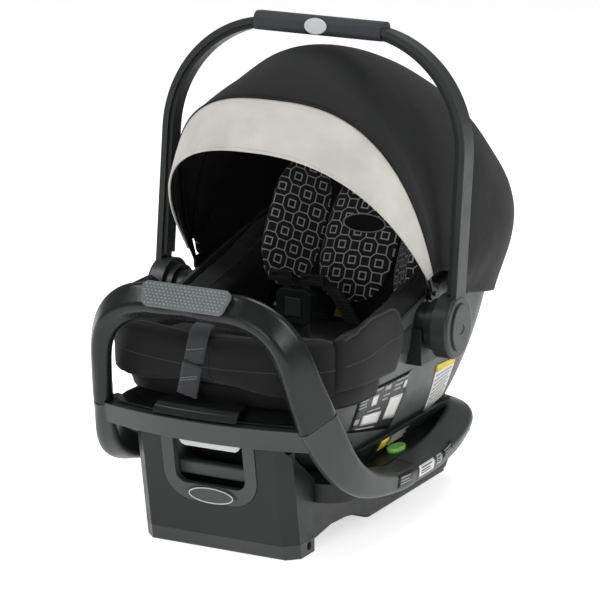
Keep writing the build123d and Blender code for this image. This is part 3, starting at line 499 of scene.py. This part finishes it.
def studio():
    centre = Vector((0.0, -0.0165, 0.264))
    azimuth, elevation, away = math.radians(28.0), math.radians(15.0), 4.5
    level = math.cos(elevation)
    back = Vector((math.sin(azimuth) * level, -math.cos(azimuth) * level, math.sin(elevation)))
    lens = bpy.data.cameras.new("camera")
    lens.lens, lens.sensor_width = 216.0, 36.0
    camera = bpy.data.objects.new("camera", lens)
    bpy.context.scene.collection.objects.link(camera)
    camera.location = centre + back * away
    camera.rotation_mode = "QUATERNION"
    camera.rotation_quaternion = (-back).to_track_quat("-Z", "Y")
    bpy.context.scene.camera = camera

    world = bpy.data.worlds.new("studio")
    world.use_nodes = True
    links, nodes = world.node_tree.links, world.node_tree.nodes
    soft, paper = nodes["Background"], nodes.new("ShaderNodeBackground")
    soft.inputs[0].default_value = (1.0, 1.0, 1.0, 1.0)
    soft.inputs[1].default_value = ROOM_LIGHT
    paper.inputs[1].default_value = 1.1
    seen, join = nodes.new("ShaderNodeLightPath"), nodes.new("ShaderNodeMixShader")
    links.new(seen.outputs["Is Camera Ray"], join.inputs[0])
    links.new(soft.outputs[0], join.inputs[1])
    links.new(paper.outputs[0], join.inputs[2])
    links.new(join.outputs[0], nodes["World Output"].inputs[0])
    bpy.context.scene.world = world
    bpy.context.scene.view_settings.view_transform = "Standard"

    lamps = [
        # place, size, power
        ((-1.7, -1.3, 2.6), 1.4, 34.0),
        ((2.3, -0.5, 1.9), 1.3, 26.0),
        ((0.2, 1.2, 2.5), 1.6, 26.0),
        ((0.3, -2.6, 1.0), 0.9, 9.0),
    ]
    for i, (spot, size, power) in enumerate(lamps):
        light = bpy.data.lights.new(f"softbox_{i}", "AREA")
        light.shape, light.size, light.energy = "DISK", size, power
        lamp = bpy.data.objects.new(f"softbox_{i}", light)
        lamp.location = spot
        aim = Vector((0.0, 0.0, 0.3)) - Vector(spot)
        lamp.rotation_mode = "QUATERNION"
        lamp.rotation_quaternion = aim.to_track_quat("-Z", "Y")
        bpy.context.scene.collection.objects.link(lamp)

    s = Shader("floor_paper", 0.9, 0.0, 0.1)
    s.feed("Base Color", s.mix(s.noise(3.0), (0.93, 0.93, 0.93), (0.96, 0.96, 0.96)))
    s.set("Emission Color", (1.0, 1.0, 1.0, 1.0))
    s.set("Emission Strength", 0.62)
    size = 40.0
    corners = [(-size, -size, 0), (size, -size, 0), (size, size, 0), (-size, size, 0)]
    data = bpy.data.meshes.new("floor")
    data.from_pydata(corners, [], [(0, 1, 2, 3)])
    data.materials.append(s.material)
    floor = bpy.data.objects.new("floor", data)
    bpy.context.scene.collection.objects.link(floor)


studio()


# ---------------------------------------------------------------- canopy
CANOPY_Y, CANOPY_Z = 20.0, 285.0
SEAM_ANGLE, HEM_ANGLE, REAR_ANGLE = 114.0, 131.0, -12.0
ARCHES = [
    # angle, half-width, height, squareness, narrowing, drop
    (-12, 176, 266, 4.0, 0.0, 0.0),
    (12, 186, 303, 4.4, 0.0, 0.0),
    (35, 185, 292, 3.6, 0.0, 0.0),
    (60, 182, 291, 2.6, 0.0, 0.0),
    (87, 180, 293, 2.15, 1.0, 0.5),
    (101, 180, 285, 2.2, 4.0, 1.5),
    (114, 180, 273, 2.8, 6.0, 1.5),
    (131, 177, 262, 2.5, 6.5, 1.5),
]


def arch_at(angle):
    """Shape of the canopy's arch at an angle: half-width, height, squareness."""
    last = len(ARCHES) - 1
    k = max(i for i, a in enumerate(ARCHES[:-1]) if angle >= a[0] or i == 0)
    t = (angle - ARCHES[k][0]) / (ARCHES[k + 1][0] - ARCHES[k][0])
    sharp = ARCHES[k + 1][0] >= SEAM_ANGLE
    a, b, c, d = (ARCHES[min(max(k + j, 0), last)][1:] for j in (-1, 0, 1, 2))
    out = []
    for p, q, r, u in zip(a, b, c, d):
        if sharp:
            out.append(q + (r - q) * t)
            continue
        out.append(0.5 * (2 * q + (r - p) * t + (2 * p - 5 * q + 4 * r - u) * t * t
                          + (3 * q - p - 3 * r + u) * t ** 3))
    half, rise, power, narrow, drop = out
    return half - narrow, rise - drop, power


def canopy_row(angle, count, inset=0.0, low=30.0):
    """Points of the arch at an angle, from low on the right side over the top to the left."""
    half, rise, power = arch_at(angle)
    half, rise = half - inset, rise - inset
    line = [Vector((half, low, 0))]
    for step in range(1, 160):
        turn = math.pi * step / 160
        c, sn = math.cos(turn), math.sin(turn)
        r = rise * sn ** (2 / power)
        if r > low:
            line.append(Vector((math.copysign(abs(c) ** (2 / power), c) * half, r, 0)))
    line.append(Vector((-half, low, 0)))
    turn = math.radians(angle)
    return [
        mm(p.x, CANOPY_Y + p.y * math.cos(turn), CANOPY_Z + p.y * math.sin(turn))
        for p in even(line, count)
    ]


def canopy_sheet(name, angles, look, inset, rumple):
    """A strip of canopy cloth over a list of angles, with soft rumples."""
    count = 97
    rows = []
    for angle in angles:
        row = canopy_row(angle, count, inset)
        moved = []
        for j, p in enumerate(row):
            out = (p - mm(0, CANOPY_Y, CANOPY_Z)).normalized()
            side = abs(2 * j / (count - 1) - 1)
            amount = rumple * (0.25 + 0.75 * side ** 3)
            n = noise.noise(p * 16.0) * 0.6 + noise.noise(p * 38.0 + Vector((3, 7, 1))) * 0.25
            moved.append(p + out * (n * amount))
        rows.append(moved)
    return grid(name, rows, look)


def span(start, stop, count):
    return [start + (stop - start) * i / (count - 1) for i in range(count)]


def make_canopy():
    cover = canopy_sheet("canopy_cover", span(REAR_ANGLE, SEAM_ANGLE, 72), "canopy", 0.0, 0.0035)
    add_modifier(cover, "SOLIDIFY", thickness=0.0012, offset=-1.0)
    bake(cover)
    tuple(canopy_row(88, 3)[1])
    tuple(canopy_row(112, 3)[1])
    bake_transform(cover)
    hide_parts("canopy_rear", "canopy_front")

    band = canopy_sheet("canopy_band_cover", span(SEAM_ANGLE, HEM_ANGLE, 16), "band", 0.0, 0.0006)
    add_modifier(band, "SOLIDIFY", thickness=0.0016, offset=-1.0)
    bake(band)
    place(band, "canopy")
    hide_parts("canopy_band")

    hem = tube("canopy_hem", canopy_row(HEM_ANGLE, 90, 0.8), 0.0016, "band", 8)
    place(hem, "canopy")
    lining_angles = span(SEAM_ANGLE - 0.3, HEM_ANGLE - 0.4, 12)
    lining = canopy_sheet("canopy_band_lining", lining_angles, "canopy", 2.4, 0.0004)
    add_modifier(lining, "SOLIDIFY", thickness=0.0006, offset=-1.0)
    bake(lining)
    place(lining, "canopy")
    welt = tube("canopy_welt", canopy_row(SEAM_ANGLE - 0.2, 90, -0.3), 0.0015, "canopy", 8)
    place(welt, "canopy")
    for i, angle in enumerate((87.0, 40.0)):
        sleeve = tube(f"canopy_bow_sleeve_{i}", canopy_row(angle, 70, 3.2), 0.0032, "canopy", 10)
        place(sleeve, "carrier")
    for angle in (SEAM_ANGLE + 1.6, HEM_ANGLE - 1.6):
        label = "front" if angle > 120 else "rear"
        row = canopy_row(angle, 240, -0.25)
        dashes(f"band_stitch_{label}", row, 0.00028, "band", "canopy")


def dashes(name, line, radius, look, body):
    """A row of stitches: every other short run of a line, as one mesh."""
    whole = bmesh.new()
    for i in range(0, len(line) - 2, 2):
        t = line[i + 1] - line[i]
        start, end = line[i] + t * 0.1, line[i] + t * 0.95
        side = t.normalized().orthogonal() * radius
        up = t.normalized().cross(side).normalized() * radius
        ring = []
        for p in (start, end):
            spots = [p + side * a + up * b for a, b in ((1, 0), (0, 1), (-1, 0), (0, -1))]
            ring.append([whole.verts.new(spot) for spot in spots])
        for k in range(4):
            m = (k + 1) % 4
            whole.faces.new((ring[0][k], ring[0][m], ring[1][m], ring[1][k]))
        whole.faces.new(ring[0][::-1])
        whole.faces.new(ring[1])
    data = bpy.data.meshes.new(name)
    whole.to_mesh(data)
    whole.free()
    data.materials.append(LOOKS[look])
    obj = bpy.data.objects.new(name, data)
    bpy.context.scene.collection.objects.link(obj)
    return place(obj, body)


make_canopy()


# ---------------------------------------------------------------- padded seat
def puff(name, node, look, voxel=0.005, pressure=4.0, cap=0.008, smooth=8, shrink=0.002):
    """A soft pad from a node's solid: remeshed, rounded, then swollen by cloth pressure."""
    data = NODES[node].data.copy()
    data.materials.clear()
    data.materials.append(LOOKS[look])
    obj = bpy.data.objects.new(name, data)
    bpy.context.scene.collection.objects.link(obj)
    add_modifier(obj, "REMESH", mode="VOXEL", voxel_size=voxel, use_smooth_shade=True)
    add_modifier(obj, "SMOOTH", factor=0.5, iterations=smooth)
    bake(obj)
    start = [v.co.copy() for v in obj.data.vertices]
    normals = [v.normal.copy() for v in obj.data.vertices]
    for v, n in zip(obj.data.vertices, normals):
        v.co = v.co - n * shrink
    swell(obj, pressure)
    for v, home in zip(obj.data.vertices, start):
        move = v.co - home
        if move.length > cap:
            v.co = home + move * (cap / move.length)
    add_modifier(obj, "SUBSURF", levels=1, render_levels=1)
    bake(obj)
    obj.data.polygons.foreach_set("use_smooth", [True] * len(obj.data.polygons))
    place(obj, "carrier")
    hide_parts(node)
    return obj


def swell(obj, pressure):
    """Run Blender's cloth with inner pressure and no gravity, and keep its last frame."""
    scene = bpy.context.scene
    cloth = obj.modifiers.new("cloth", "CLOTH")
    cloth.settings.use_pressure = True
    cloth.settings.uniform_pressure_force = pressure
    cloth.settings.effector_weights.gravity = 0.0
    cloth.settings.quality = 4
    cloth.settings.mass = 0.3
    cloth.settings.tension_stiffness = 20
    cloth.settings.compression_stiffness = 20
    cloth.settings.bending_stiffness = 2.0
    cloth.point_cache.frame_start, cloth.point_cache.frame_end = 1, 20
    for number in range(1, 21):
        scene.frame_set(number)
    bake(obj)
    scene.frame_set(1)


def piping(name, tree, points, radius, look, body="carrier", lift=0.0, count=120):
    line = even(on_surface(tree, even(smooth_line(points), count), lift), count)
    return place(tube(name, line, radius, look, 8), body)


def make_pads():
    pads = {}
    pads["front"] = puff("front_roll_pad", "front_roll", "pad", 0.005, 4.0, 0.009, 10)
    for side in ("left", "right"):
        pads["roll_" + side] = puff(f"side_roll_pad_{side}", f"side_roll_{side}", "pad", 0.005, 4.0, 0.007, 6)
        pads["side_" + side] = puff(f"side_pad_cushion_{side}", f"side_pad_{side}", "mesh_cloth",
                                    0.006, 4.0, 0.008, 10)
    pads["seat"] = puff("seat_pad_cushion", "seat_pad", "pad", 0.006, 4.0, 0.007, 12)
    return pads


PADS = make_pads()


# ---------------------------------------------------------------- insert
BACK_MID = mm(0, 162.5, 305.5)
BACK_DIR = Vector((0, 91, 153)).normalized()
BACK_OUT = Vector((0, -BACK_DIR.z, BACK_DIR.y))


def on_back(x, v, w):
    """A point from millimetres across, up and out of the back's plane."""
    return BACK_MID + Vector((x * MM, 0, 0)) + BACK_DIR * (v * MM) + BACK_OUT * (w * MM)


def make_centre_cushion():
    """Crowned centre cushion with rounded corners, flat on its back."""
    half_w, half_v = 53.0, 90.0
    rings, uvs = [], []
    steps, layers = 96, 22
    for k in range(layers + 1):
        t = k / layers
        shrink = math.sin(t * math.pi / 2)
        crown = math.cos(t * math.pi / 2) ** 0.75
        ring, ring_uv = [], []
        for j in range(steps):
            a = 2 * math.pi * j / steps
            c, sn = math.cos(a), math.sin(a)
            x = math.copysign(abs(c) ** 0.55, c) * half_w * shrink
            v = math.copysign(abs(sn) ** 0.55, sn) * half_v * shrink
            if v < 0:
                x *= 1 - 0.12 * (v / half_v) ** 2
            else:
                x *= 1 - 0.22 * (v / half_v) ** 2
            bulge = 1 + 0.10 * math.cos(v / half_v * 3.4)
            w = 7.0 + 15.0 * crown * bulge
            ring.append(on_back(x, v, w))
            ring_uv.append((x * MM, v * MM))
        rings.append(ring)
        uvs.append(ring_uv)
    under = []
    for p in rings[-1]:
        off = p - BACK_MID
        under.append(on_back(off.x / MM * 0.97, off.dot(BACK_DIR) / MM * 0.97, 5.2))
    rings.append(under)
    uvs.append(uvs[-1])
    count = len(rings[0])
    rings, uvs = rings[1:], uvs[1:]
    cushion = grid("insert_centre_cushion", rings, "insert", True, True, uvs)
    place(cushion, "carrier")
    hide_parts("insert_back")
    edge = tube("insert_centre_piping", [p + BACK_OUT * 0.002 for p in rings[-2]], 0.0013, "pad", 6, True)
    place(edge, "carrier")
    return cushion


WING = [(56, 6), (66, 21), (82, 42), (97, 61), (106, 67), (113, 61), (114, 42), (111, 20), (101, 6), (78, 5)]


def make_wing(side):
    """Side wing of the insert: a lobe that stands forward beside the child's head."""
    sign = 1 if side == "right" else -1
    outline = even(smooth_line([(x, w, 0) for x, w in WING], 8, True) + [Vector((58, 7, 0))], 65)[:-1]
    core = Vector((88, 24, 0))
    rows, uvs = [], []
    half_v, steps = 84.0, 40
    perimeter = [0.0]
    for a, b in zip(outline, outline[1:]):
        perimeter.append(perimeter[-1] + (b - a).length)
    face_mid = 0.2 * perimeter[-1]
    for i in range(steps + 1):
        t = -1 + 2 * i / steps
        v = half_v * math.sin(t * math.pi / 2)
        share = v / half_v
        grow = max(0.02, 1 - abs(share) ** 3.4) ** 0.42
        row, row_uv = [], []
        for k, p in enumerate(outline):
            q = core + (p - core) * grow
            row.append(on_back(sign * q.x, v, max(q.y, 5.0)))
            row_uv.append((sign * (face_mid + (perimeter[k] - face_mid) * grow) * MM, v * MM))
        rows.append(row if side == "right" else row[::-1])
        uvs.append(row_uv if side == "right" else row_uv[::-1])
    wing = grid(f"insert_wing_cushion_{side}", rows, "insert", True, True, uvs)
    place(wing, "carrier")
    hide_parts(f"insert_wing_{side}")
    return wing


make_centre_cushion()
make_wing("left")
make_wing("right")


# ---------------------------------------------------------------- seams and piping of the pads
def pad_seams():
    """Sewn channels and piping on the rolls, laid on their swollen surfaces."""
    front = tree_of(PADS["front"])
    level = [(-168, -185, 243), (-158, -232, 243), (-118, -262, 243), (-60, -270, 242), (0, -272, 241),
             (60, -270, 242), (118, -262, 243), (158, -232, 243), (168, -185, 243)]
    piping("front_roll_seam", front, [mm(*p) for p in level], 0.0006, "thread")
    join = [(12, -272, 276), (9, -274, 262), (9, -274, 240), (14, -272, 214)]
    piping("front_roll_join", front, [mm(*p) for p in join], 0.0009, "pad", count=40)
    rim = [(-150, -190, 282), (-128, -228, 284), (-80, -246, 285), (0, -250, 285), (80, -246, 285),
           (128, -228, 284), (150, -190, 282)]
    piping("front_roll_piping", front, [mm(*p) for p in rim], 0.0016, "piping", lift=0.0006)
    for side, sign in (("left", -1), ("right", 1)):
        roll = tree_of(PADS["roll_" + side])
        edge = [(sign * 172, -206, 243), (sign * 176, -165, 249), (sign * 178, -120, 256),
                (sign * 178, -80, 258)]
        piping(f"side_roll_seam_{side}", roll, [mm(*p) for p in edge], 0.0007, "thread", count=60)
        top = [(sign * 164, -206, 280), (sign * 168, -172, 292), (sign * 169, -152, 296),
               (sign * 170, -97, 295), (sign * 171, -82, 287), (sign * 173, -75, 266), (sign * 173, -75, 238)]
        piping(f"side_roll_piping_{side}", roll, [mm(*p) for p in top], 0.0014, "piping", count=60,
               lift=0.0005)
        cushion = tree_of(PADS["side_" + side])
        bolster = [(sign * 118, -150, 254), (sign * 120, -80, 262), (sign * 120, 0, 278),
                   (sign * 120, 80, 296), (sign * 120, 150, 314)]
        piping(f"side_pad_seam_{side}", cushion, [mm(*p) for p in bolster], 0.0013, "piping", count=80)


pad_seams()


# ---------------------------------------------------------------- harness webbing
def across(count):
    return [Vector((1, 0, 0))] * count


def make_straps():
    tail = [(-6, -224, 286.8), (-6, -240, 287.6), (-6, -251, 286.4), (-6, -259, 281.5), (-6.5, -263.8, 272),
            (-9.5, -265.2, 255), (-14.5, -265.6, 230), (-20, -266, 203)]
    line = smooth_line([mm(*p) for p in tail], 8)
    strap = ribbon("adjuster_strap_web", line, Vector((1, 0, 0)), 0.027, 0.0016, "webbing")
    place(strap, "carrier")
    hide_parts("adjuster_strap")
    fold = ribbon("adjuster_strap_fold", [p + mm(0, -1.7, 0) for p in line[-13:]], Vector((1, 0, 0)),
                  0.0275, 0.0018, "webbing")
    place(fold, "carrier")
    for k, (x, y, z) in enumerate(((-15.6, -268.7, 224), (-16.2, -268.8, 221), (-8.6, -266.2, 259))):
        row = [mm(x - 12 + 0.9 * i, y, z + 0.18 * i) for i in range(27)]
        dashes(f"adjuster_strap_stitch_{k}", row, 0.0003, "pale_thread", "carrier")

    crotch = [(0, -19, 216), (0, -21.5, 226), (0, -24, 240)]
    route = smooth_line([mm(*p) for p in crotch], 8)
    web = ribbon("crotch_strap_web", route, Vector((1, 0, 0)), 0.034, 0.003, "webbing")
    place(web, "carrier")
    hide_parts("crotch_strap")
    for side, sign in (("left", -1), ("right", 1)):
        path = [(22, -22, 293), (22, -16, 296.5), (22, 12, 280), (22, 50, 252), (22, 82, 217), (22, 97, 211),
                (22, 127, 253), (22, 160, 308), (22, 198, 372)]
        route = smooth_line([mm(sign * x, y, z) for x, y, z in path], 8)
        web = ribbon(f"shoulder_strap_web_{side}", route, Vector((1, 0, 0)), 0.024, 0.0015, "webbing")
        place(web, "carrier")
        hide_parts(f"shoulder_strap_{side}")


make_straps()


# ---------------------------------------------------------------- mouldings: pad bumps, badge ring
def make_grip_bumps():
    """Raised lozenges on the rubber pad of the rebound bar, inside a plain border."""
    wide = Vector((0, 0.57, 0.82)).normalized()
    out = Vector((0, -wide.z, wide.y))
    centre = mm(0, -292, 325) + out * (19.2 * MM)
    points, faces = [], []
    step_x, step_w = 5.2, 3.9
    for row in range(-3, 4):
        w = row * step_w
        half = 55.5 + (w / 15.5) * 4.5
        for k in range(-12, 13):
            x = k * step_x + (row % 2) * step_x / 2
            if abs(x) > half - 1.5:
                continue
            base = len(points)
            for size, lift in ((1.0, -0.2), (0.6, 0.9)):
                for a, b in ((2.3, 0), (0, 1.75), (-2.3, 0), (0, -1.75)):
                    points.append(centre + Vector(((x + a * size) * MM, 0, 0)) + wide * ((w + b * size) * MM)
                                  + out * (lift * MM))
            for i in range(4):
                j = (i + 1) % 4
                faces.append((base + i, base + j, base + 4 + j, base + 4 + i))
            faces.append((base + 4, base + 5, base + 6, base + 7))
            faces.append((base + 3, base + 2, base + 1, base))
    bumps = mesh_object("rebound_pad_bumps", points, faces, "pad_bump", None, False)
    place(bumps, "base")


def oval_ring(name, centre, right, up, width, height, radius, look, body, lift):
    out = right.cross(up).normalized()
    line = []
    for k in range(64):
        a = 2 * math.pi * k / 64
        line.append(centre + right * (math.cos(a) * width / 2) + up * (math.sin(a) * height / 2) + out * lift)
    return place(tube(name, line, radius, look, 8, True), body)


def make_badges():
    low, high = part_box("front_badge")
    up = Vector((0, -0.17, 1)).normalized()
    out = Vector((1, 0, 0)).cross(up)
    centre = (low + high) / 2 + out * 0.0011
    oval_ring("front_badge_ring", centre, Vector((1, 0, 0)), up, 0.060, 0.0195, 0.0007, "pale", "base",
              0.0002)


make_grip_bumps()
make_badges()


def make_emblem():
    """Blank embroidered oval near the top of the insert."""
    cushion = tree_of(bpy.data.objects["insert_centre_cushion"])
    ring = []
    mid = on_back(6, 12, 24)
    for k in range(64):
        a = 2 * math.pi * k / 64
        ring.append(mid + Vector((math.cos(a) * 0.031, 0, 0)) + BACK_DIR * (math.sin(a) * 0.0125))
    for name, look, shares, lift in (
        ("insert_emblem_patch", "emblem", [0.001 + j / 8 for j in range(9)], 0.0007),
        ("insert_emblem_border", "pale_thread", [0.92, 0.96, 1.0], 0.0016),
    ):
        rows = [on_surface(cushion, [mid.lerp(p, share) for p in ring], lift) for share in shares]
        patch = grid(name, rows, look, True, False)
        add_modifier(patch, "SOLIDIFY", thickness=0.0012, offset=0.0)
        bake(patch)
        place(patch, "carrier")


make_emblem()


def make_tags():
    """Two small blank tags sewn in at the foot of the backrest."""
    tags = [
        # name, look, middle of the sewn edge, half-width, length
        ("seat_tag_yellow", "yellow_label", (-1, 101, 225), 9.0, 12.0),
        ("seat_tag_white", "white_label", (-97, 104, 221), 4.5, 6.0),
    ]
    for name, look, spot, half, length in tags:
        rows = []
        for k in range(6):
            share = k / 5
            row_mid = mm(*spot) - BACK_DIR * (share * length * MM) + BACK_OUT * (3.0 * share ** 2 * MM)
            rows.append([row_mid + Vector((half * side * MM, 0, 0)) for side in (-1, -0.5, 0, 0.5, 1)])
        tag = grid(name, rows, look)
        add_modifier(tag, "SOLIDIFY", thickness=0.0006, offset=0.0)
        bake(tag)
        place(tag, "carrier")


make_tags()


# ---------------------------------------------------------------- plain label plates
def cast(tree, origin, direction):
    hit, normal, _, _ = tree.ray_cast(origin, direction)
    return hit, normal


def label(name, tree, corners, look, body, slot, lift=0.0004, away=(-1, 0, 0), start=0.3, steps=14):
    """A thin plate on the right-hand wall, between four (y, z) corners in millimetres."""
    a, b, c, d = (Vector((0, y, z)) for y, z in corners)
    rows = []
    direction = Vector(away).normalized()
    for i in range(steps + 1):
        row = []
        for j in range(steps + 1):
            p = a.lerp(b, j / steps).lerp(d.lerp(c, j / steps), i / steps) * MM
            hit, normal = cast(tree, p - direction * start, direction)
            if hit is None:
                hit, normal = row[-1] if row else p, -direction
            if normal.dot(direction) > 0:
                normal = -normal
            row.append(hit + normal * lift)
        rows.append(row)
    plate = grid(name, rows, look)
    add_modifier(plate, "SOLIDIFY", thickness=0.0004, offset=0.0)
    bake(plate)
    return place(plate, body)


def inside(corners, u0, v0, u1, v1):
    """A smaller four-cornered area of one, by shares across and down."""
    a, b, c, d = (Vector((y, z, 0)) for y, z in corners)

    def at(u, v):
        p = a.lerp(b, u).lerp(d.lerp(c, u), v)
        return p.x, p.y

    return [at(u0, v0), at(u1, v0), at(u1, v1), at(u0, v1)]


def make_labels():
    shell = tree_of(NODES["carrier_shell"])
    panel = [(-150, 196), (-6, 192), (-20, 116), (-150, 146)]
    label("shell_label_panel", shell, panel, "black_label", "carrier", "shell_plastic", 0.0004)
    blocks = [
        # share across and down: left, top, right, bottom
        ("grey_label", 0.04, 0.06, 0.22, 0.13), ("grey_label", 0.04, 0.20, 0.20, 0.24),
        ("grey_label", 0.04, 0.28, 0.18, 0.32), ("grey_label", 0.04, 0.36, 0.20, 0.40),
        ("grey_label", 0.27, 0.06, 0.45, 0.10), ("white_label", 0.29, 0.20, 0.40, 0.42),
        ("grey_label", 0.50, 0.08, 0.62, 0.18), ("grey_label", 0.50, 0.26, 0.64, 0.30),
        ("grey_label", 0.50, 0.34, 0.62, 0.38), ("grey_label", 0.70, 0.06, 0.95, 0.09),
        ("grey_label", 0.70, 0.14, 0.86, 0.18), ("grey_label", 0.70, 0.22, 0.84, 0.26),
        ("white_label", 0.90, 0.14, 0.96, 0.28), ("white_label", 0.69, 0.38, 0.96, 0.80),
        ("white_label", 0.18, 0.60, 0.58, 0.84), ("grey_label", 0.04, 0.66, 0.12, 0.80),
        ("grey_label", 0.24, 0.51, 0.52, 0.54), ("grey_label", 0.10, 0.90, 0.55, 0.93),
    ]
    for k, (look, u0, v0, u1, v1) in enumerate(blocks):
        label(f"shell_label_block_{k}", shell, inside(panel, u0, v0, u1, v1), look, "carrier",
              "shell_plastic", 0.0008, steps=5)
    rear = [(70, 178), (128, 174), (128, 120), (86, 92)]
    label("shell_rear_label", shell, rear, "white_label", "carrier", "shell_plastic", 0.0004)
    label("shell_rear_label_head", shell, inside(rear, 0.0, 0.0, 1.0, 0.13), "yellow_label", "carrier",
          "shell_plastic", 0.0008, steps=6)
    for k in range(9):
        v = 0.2 + 0.08 * k
        label(f"shell_rear_label_line_{k}", shell, inside(rear, 0.1, v, 0.9 - 0.05 * (k % 3), v + 0.025),
              "grey_label", "carrier", "shell_plastic", 0.0008, steps=6)


make_labels()


# ---------------------------------------------------------------- cloth skirt, rim joint, base label
def make_skirt():
    """Cloth edge that runs from the rolls down the front of the bowl."""
    shell = tree_of(NODES["carrier_shell"])
    rows = []
    for i in range(9):
        z = 214 - i * 3.2
        row = []
        for k in range(61):
            turn = math.radians(-72 + 144 * k / 60)
            direction = Vector((math.sin(turn), -math.cos(turn), 0))
            start = mm(0, -60, z) + direction * 0.5
            hit, normal = cast(shell, start, -direction)
            if normal.dot(direction) < 0:
                normal = -normal
            row.append(hit + normal * (0.0022 + 0.0012 * math.sin(i / 8 * math.pi)))
        rows.append(row)
    skirt = grid("front_skirt", rows, "pad")
    add_modifier(skirt, "SOLIDIFY", thickness=0.0012, offset=0.0)
    bake(skirt)
    place(skirt, "carrier")
    place(tube("front_skirt_edge", rows[-1], 0.0016, "pad", 8), "carrier")


def make_rim_joints():
    """Dark joint between the front and rear mouldings, and at the foot of the rebound bar."""
    joints = [
        ("rim_joint", (161, -45, 72), (0.15, 0, 0.98), (0, 1, -0.03), 25, 38, 8),
        ("rebound_joint", (146.8, -251.4, 187), (0.545, 0.84, 0), (0.2, 0.4, -0.9), 52, 24, 8),
    ]
    for name, centre, wide, along, width, thick, radius in joints:
        for side, sign in (("right", 1), ("left", -1)):
            t = Vector(along).normalized()
            w = Vector(wide)
            w = (w - t * w.dot(t)).normalized()
            n = t.cross(w)
            line = []
            for cx, cy, first in ((1, 1, 0), (-1, 1, 90), (-1, -1, 180), (1, -1, 270)):
                for step in range(7):
                    a = math.radians(first + 15 * step)
                    u = cx * (width / 2 - radius) + radius * math.cos(a)
                    v = cy * (thick / 2 - radius) + radius * math.sin(a)
                    p = mm(*centre) + w * (u * MM) + n * (v * MM)
                    line.append(Vector((p.x * sign, p.y, p.z)))
            place(tube(f"{name}_{side}", line, 0.0004, "black_label", 6, True), "base")


def make_base_labels():
    base = tree_of(NODES["base_shell"])
    panel = [(-70, 110), (30, 110), (30, 91), (-70, 91)]
    label("base_label_panel", base, panel, "black_label", "base", "base_plastic", 0.0004)
    label("base_label_mark", base, inside(panel, 0.2, 0.1, 0.42, 0.95), "yellow_label", "base",
          "base_plastic", 0.0008, steps=5)
    for k in range(5):
        v = 0.14 + 0.16 * k
        block = inside(panel, 0.48, v, 0.95 - 0.06 * (k % 2), v + 0.07)
        label(f"base_label_line_{k}", base, block, "grey_label", "base", "base_plastic", 0.0008, steps=4)
    front = tree_of(NODES["front_rim"])
    rear = tree_of(NODES["rear_rim"])
    spots = [
        ("rim_sticker_dark", front, [(-100, 84), (-58, 80), (-58, 66), (-100, 68)], "black_label"),
        ("rim_sticker_white", rear, [(-42, 80), (0, 80), (0, 66), (-42, 66)], "white_label"),
        ("rim_sticker_small", rear, [(8, 80), (22, 80), (22, 68), (8, 68)], "grey_label"),
        ("rim_sticker_strip", rear, [(28, 81), (62, 85), (62, 75), (28, 71)], "black_label"),
    ]
    for name, tree, corners, look in spots:
        label(name, tree, corners, look, "base", "base_plastic", 0.0004, steps=8)
        mark = "grey_label" if look != "grey_label" else "black_label"
        if look == "white_label":
            mark = "black_label"
        for k in range(3):
            v = 0.2 + 0.24 * k
            label(f"{name}_line_{k}", tree, inside(corners, 0.12, v, 0.8 - 0.12 * (k % 2), v + 0.08), mark,
                  "base", "base_plastic", 0.0008, steps=3)


make_skirt()
make_rim_joints()
make_base_labels()
